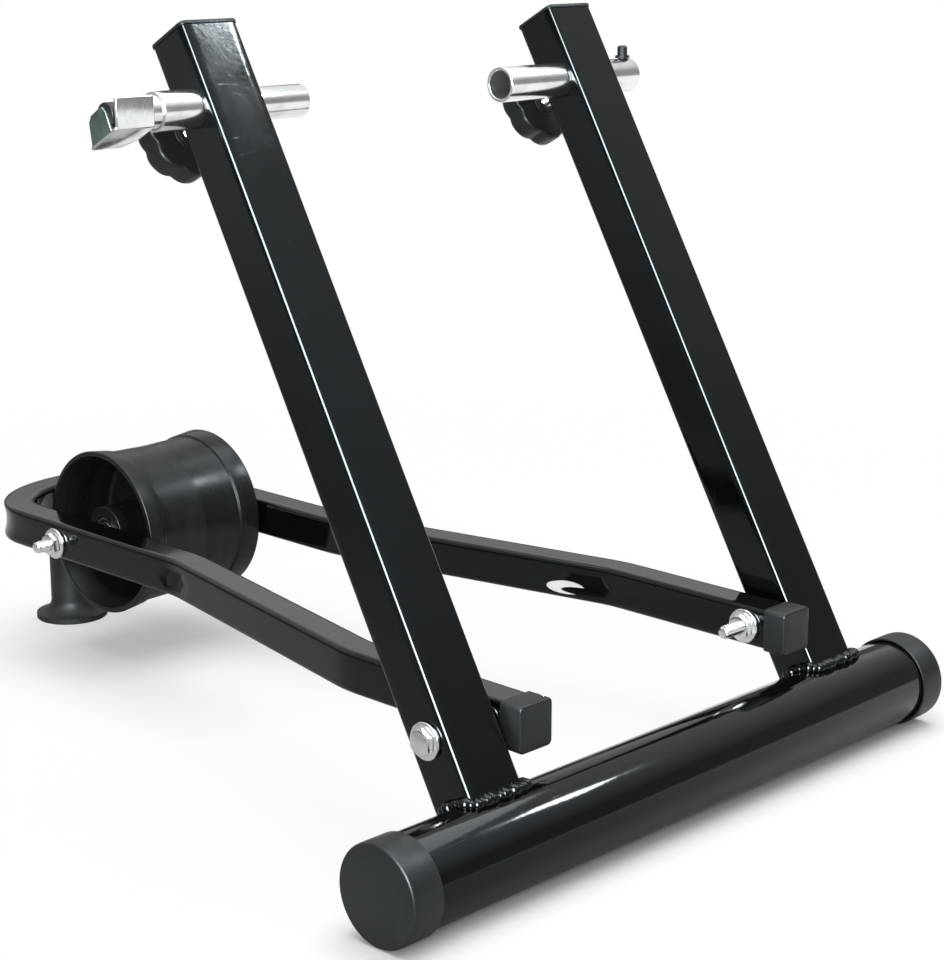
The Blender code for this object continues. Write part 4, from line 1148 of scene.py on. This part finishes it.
def arm_cap(side, corner):
    """A square moulded cap over the arm's front end."""
    span = Span("arm_cap_" + side, FOLDING)
    here, long = span.middle, span.size.y
    rings = []
    for inset, along in ((0.009, 0.0), (0.0016, 0.00004), (0.0008, 0.0002), (0.00025, 0.0006),
                         (0.0, 0.0012), (0.0, long - 0.0002), (0.0002, long), (0.00072, long),
                         (0.00075, 0.0032), (0.008, 0.003)):
        outline = rounded_box(span.size.x - 2 * inset, span.size.z - 2 * inset,
                              max(corner - inset * 0.6, 0.0006), 6, 2)
        rings.append([Vector((here.x + u, span.low.y + along, here.z + w)) for u, w in outline])
    place_solid("arm_cap_moulded_" + side, loft(rings), FOLDING, "black_plastic",
                "folding_frame", "black_plastic", "arm_cap_" + side)


class TRAINER_OT_roller(bpy.types.Operator):
    """Make the roller drum with its bearings and spacers"""
    bl_idname = "trainer.roller"
    bl_label = "Roller"

    def execute(self, context):
        prepare_looks()
        roller_drum()
        for side in SIDES:
            bearing(side)
            # The spacers in the drum take the same steel, darkened as painted shade
            dress("axle_spacer_" + side, "bearing_steel")
        dress("bearing_spacer", "bearing_steel")
        return {"FINISHED"}


def turned_over(outline):
    """The outline's points in reverse, on the other side of height 0."""
    return [(radius, -height) for radius, height in reversed(outline)]


def roller_drum():
    """The drum: a waisted barrel with a stepped, flared rim at each end, its web and hub."""
    span = Span("roller_drum")
    half, rim = span.size.x / 2, span.size.z / 2
    step, hub_end = half - 0.0143, half - 0.004
    web, inside, hub, seat, seat_depth = 0.003, 0.0477, 0.017, 0.0113, 0.0073
    barrel = [(rim - 0.0035, half), (rim, half), (0.0539, step), (0.0525, step - 0.001),
              (0.0517, 0.003)]
    barrel_radii = [0.0006, 0.0012, 0.0008, 0.0008, 0.0015]
    hollow = [(inside, -step), (inside, -web), (hub, -web), (hub, -hub_end), (seat, -hub_end),
              (seat, seat_depth - hub_end), (0.008, seat_depth - hub_end)]
    hollow_radii = [0.002, 0.003, 0.003, 0.0008, 0.0004, 0.0004, 0.0003]
    outline = barrel + turned_over(barrel) + hollow + turned_over(hollow)
    radii = barrel_radii + barrel_radii[::-1] + hollow_radii + hollow_radii[::-1]
    place_solid("roller_drum_turned", lathe(rounded(outline, radii, 5), 192, closed=True),
                along_x(span.middle), "drum_plastic", "roller", "drum_plastic", "roller_drum")


def bearing(side):
    """A sealed ball bearing: outer and inner rings with a sunk seal between them."""
    span = Span("bearing_" + side)
    outer, face = span.size.z / 2, -span.size.x / 2
    seal = face + 0.0005
    outline = [(outer, -face), (outer, face), (outer - 0.0022, face), (outer - 0.0024, seal),
               (0.0063, seal), (0.0061, face), (SHANK + 0.0001, face)]
    profile = rounded(outline + turned_over(outline[2:]), 0.0003, 2)
    place_solid("bearing_ground_" + side, lathe(profile, closed=True), along_x(span.middle),
                "bearing_steel", "roller", "bearing_steel", "bearing_" + side)


class TRAINER_OT_axle(bpy.types.Operator):
    """Make the roller's axle with its nut and washers"""
    bl_idname = "trainer.axle"
    bl_label = "Axle"

    def execute(self, context):
        prepare_looks()
        hex_bolt("roller_axle_plated", "roller_axle", "folding_frame", 1,
                 context.scene.trainer_sizes)
        hex_nut("axle_nut_plated", "axle_nut", "folding_frame", 1)
        for side in SIDES:
            washer("axle_washer_plated_" + side, "axle_washer_" + side, "folding_frame")
        return {"FINISHED"}


class TRAINER_OT_rear_foot(bpy.types.Operator):
    """Make the flared rear foot"""
    bl_idname = "trainer.rear_foot"
    bl_label = "Rear foot"

    def execute(self, context):
        prepare_looks()
        span = Span("rear_foot")
        base, top = span.size.x / 2, span.high.z
        column, rim, flare, socket, steps = 0.0145, 0.004, 0.014, 0.0095, 14
        outline = [(column - 0.0012, top), (column - 0.0004, top - 0.0003), (column, top - 0.001),
                   (column, top - 0.02)]
        for step in range(steps + 1):
            angle = QUARTER * step / steps
            outline.append((base - (base - column) * math.cos(angle),
                            rim + (flare - rim) * (1 - math.sin(angle))))
        outline += [(base, rim - 0.0004), (base, 0.0006), (base - 0.0006, 0.0), (socket, 0.0),
                    (socket, top - 0.012), (BORE, top - 0.012), (BORE, top)]
        place_solid("rear_foot_moulded", lathe(outline, closed=True),
                    at((span.middle.x, span.middle.y, 0.0)), "foot_rubber", "folding_frame",
                    "foot_rubber", "rear_foot")
        dress("foot_screw", "zinc_plate")
        return {"FINISHED"}


STEPS = (TRAINER_OT_stage, TRAINER_OT_base_tube, TRAINER_OT_uprights, TRAINER_OT_left_clamp,
         TRAINER_OT_right_clamp, TRAINER_OT_locking_knobs, TRAINER_OT_pivots,
         TRAINER_OT_rear_frame, TRAINER_OT_roller, TRAINER_OT_axle, TRAINER_OT_rear_foot)


class TRAINER_PT_panel(bpy.types.Panel):
    """Sizes, finishes and steps of the trainer stand"""
    bl_idname = "TRAINER_PT_panel"
    bl_label = "Trainer Stand"
    bl_space_type = "VIEW_3D"
    bl_region_type = "UI"
    bl_category = "Trainer"

    def draw(self, context):
        for group in (context.scene.trainer_sizes, context.scene.trainer_finishes):
            box = self.layout.box()
            for name in group.__annotations__:
                box.prop(group, name)
        for step in STEPS:
            self.layout.operator(step.bl_idname)


CLASSES = (TrainerSizes, TrainerFinishes, *STEPS, TRAINER_PT_panel)


def register():
    for kind in CLASSES:
        bpy.utils.register_class(kind)
    bpy.types.Scene.trainer_sizes = PointerProperty(type=TrainerSizes)
    bpy.types.Scene.trainer_finishes = PointerProperty(type=TrainerFinishes)


def unregister():
    del bpy.types.Scene.trainer_finishes
    del bpy.types.Scene.trainer_sizes
    for kind in reversed(CLASSES):
        bpy.utils.unregister_class(kind)


def main():
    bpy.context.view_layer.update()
    register()
    bpy.ops.trainer.stage()
    bpy.ops.trainer.base_tube()
    bpy.ops.trainer.uprights()
    bpy.ops.trainer.left_clamp()
    bpy.ops.trainer.right_clamp()
    bpy.ops.trainer.locking_knobs()
    bpy.ops.trainer.pivots()
    bpy.ops.trainer.rear_frame()
    bpy.ops.trainer.roller()
    bpy.ops.trainer.axle()
    bpy.ops.trainer.rear_foot()


if __name__ == "__main__":
    main()
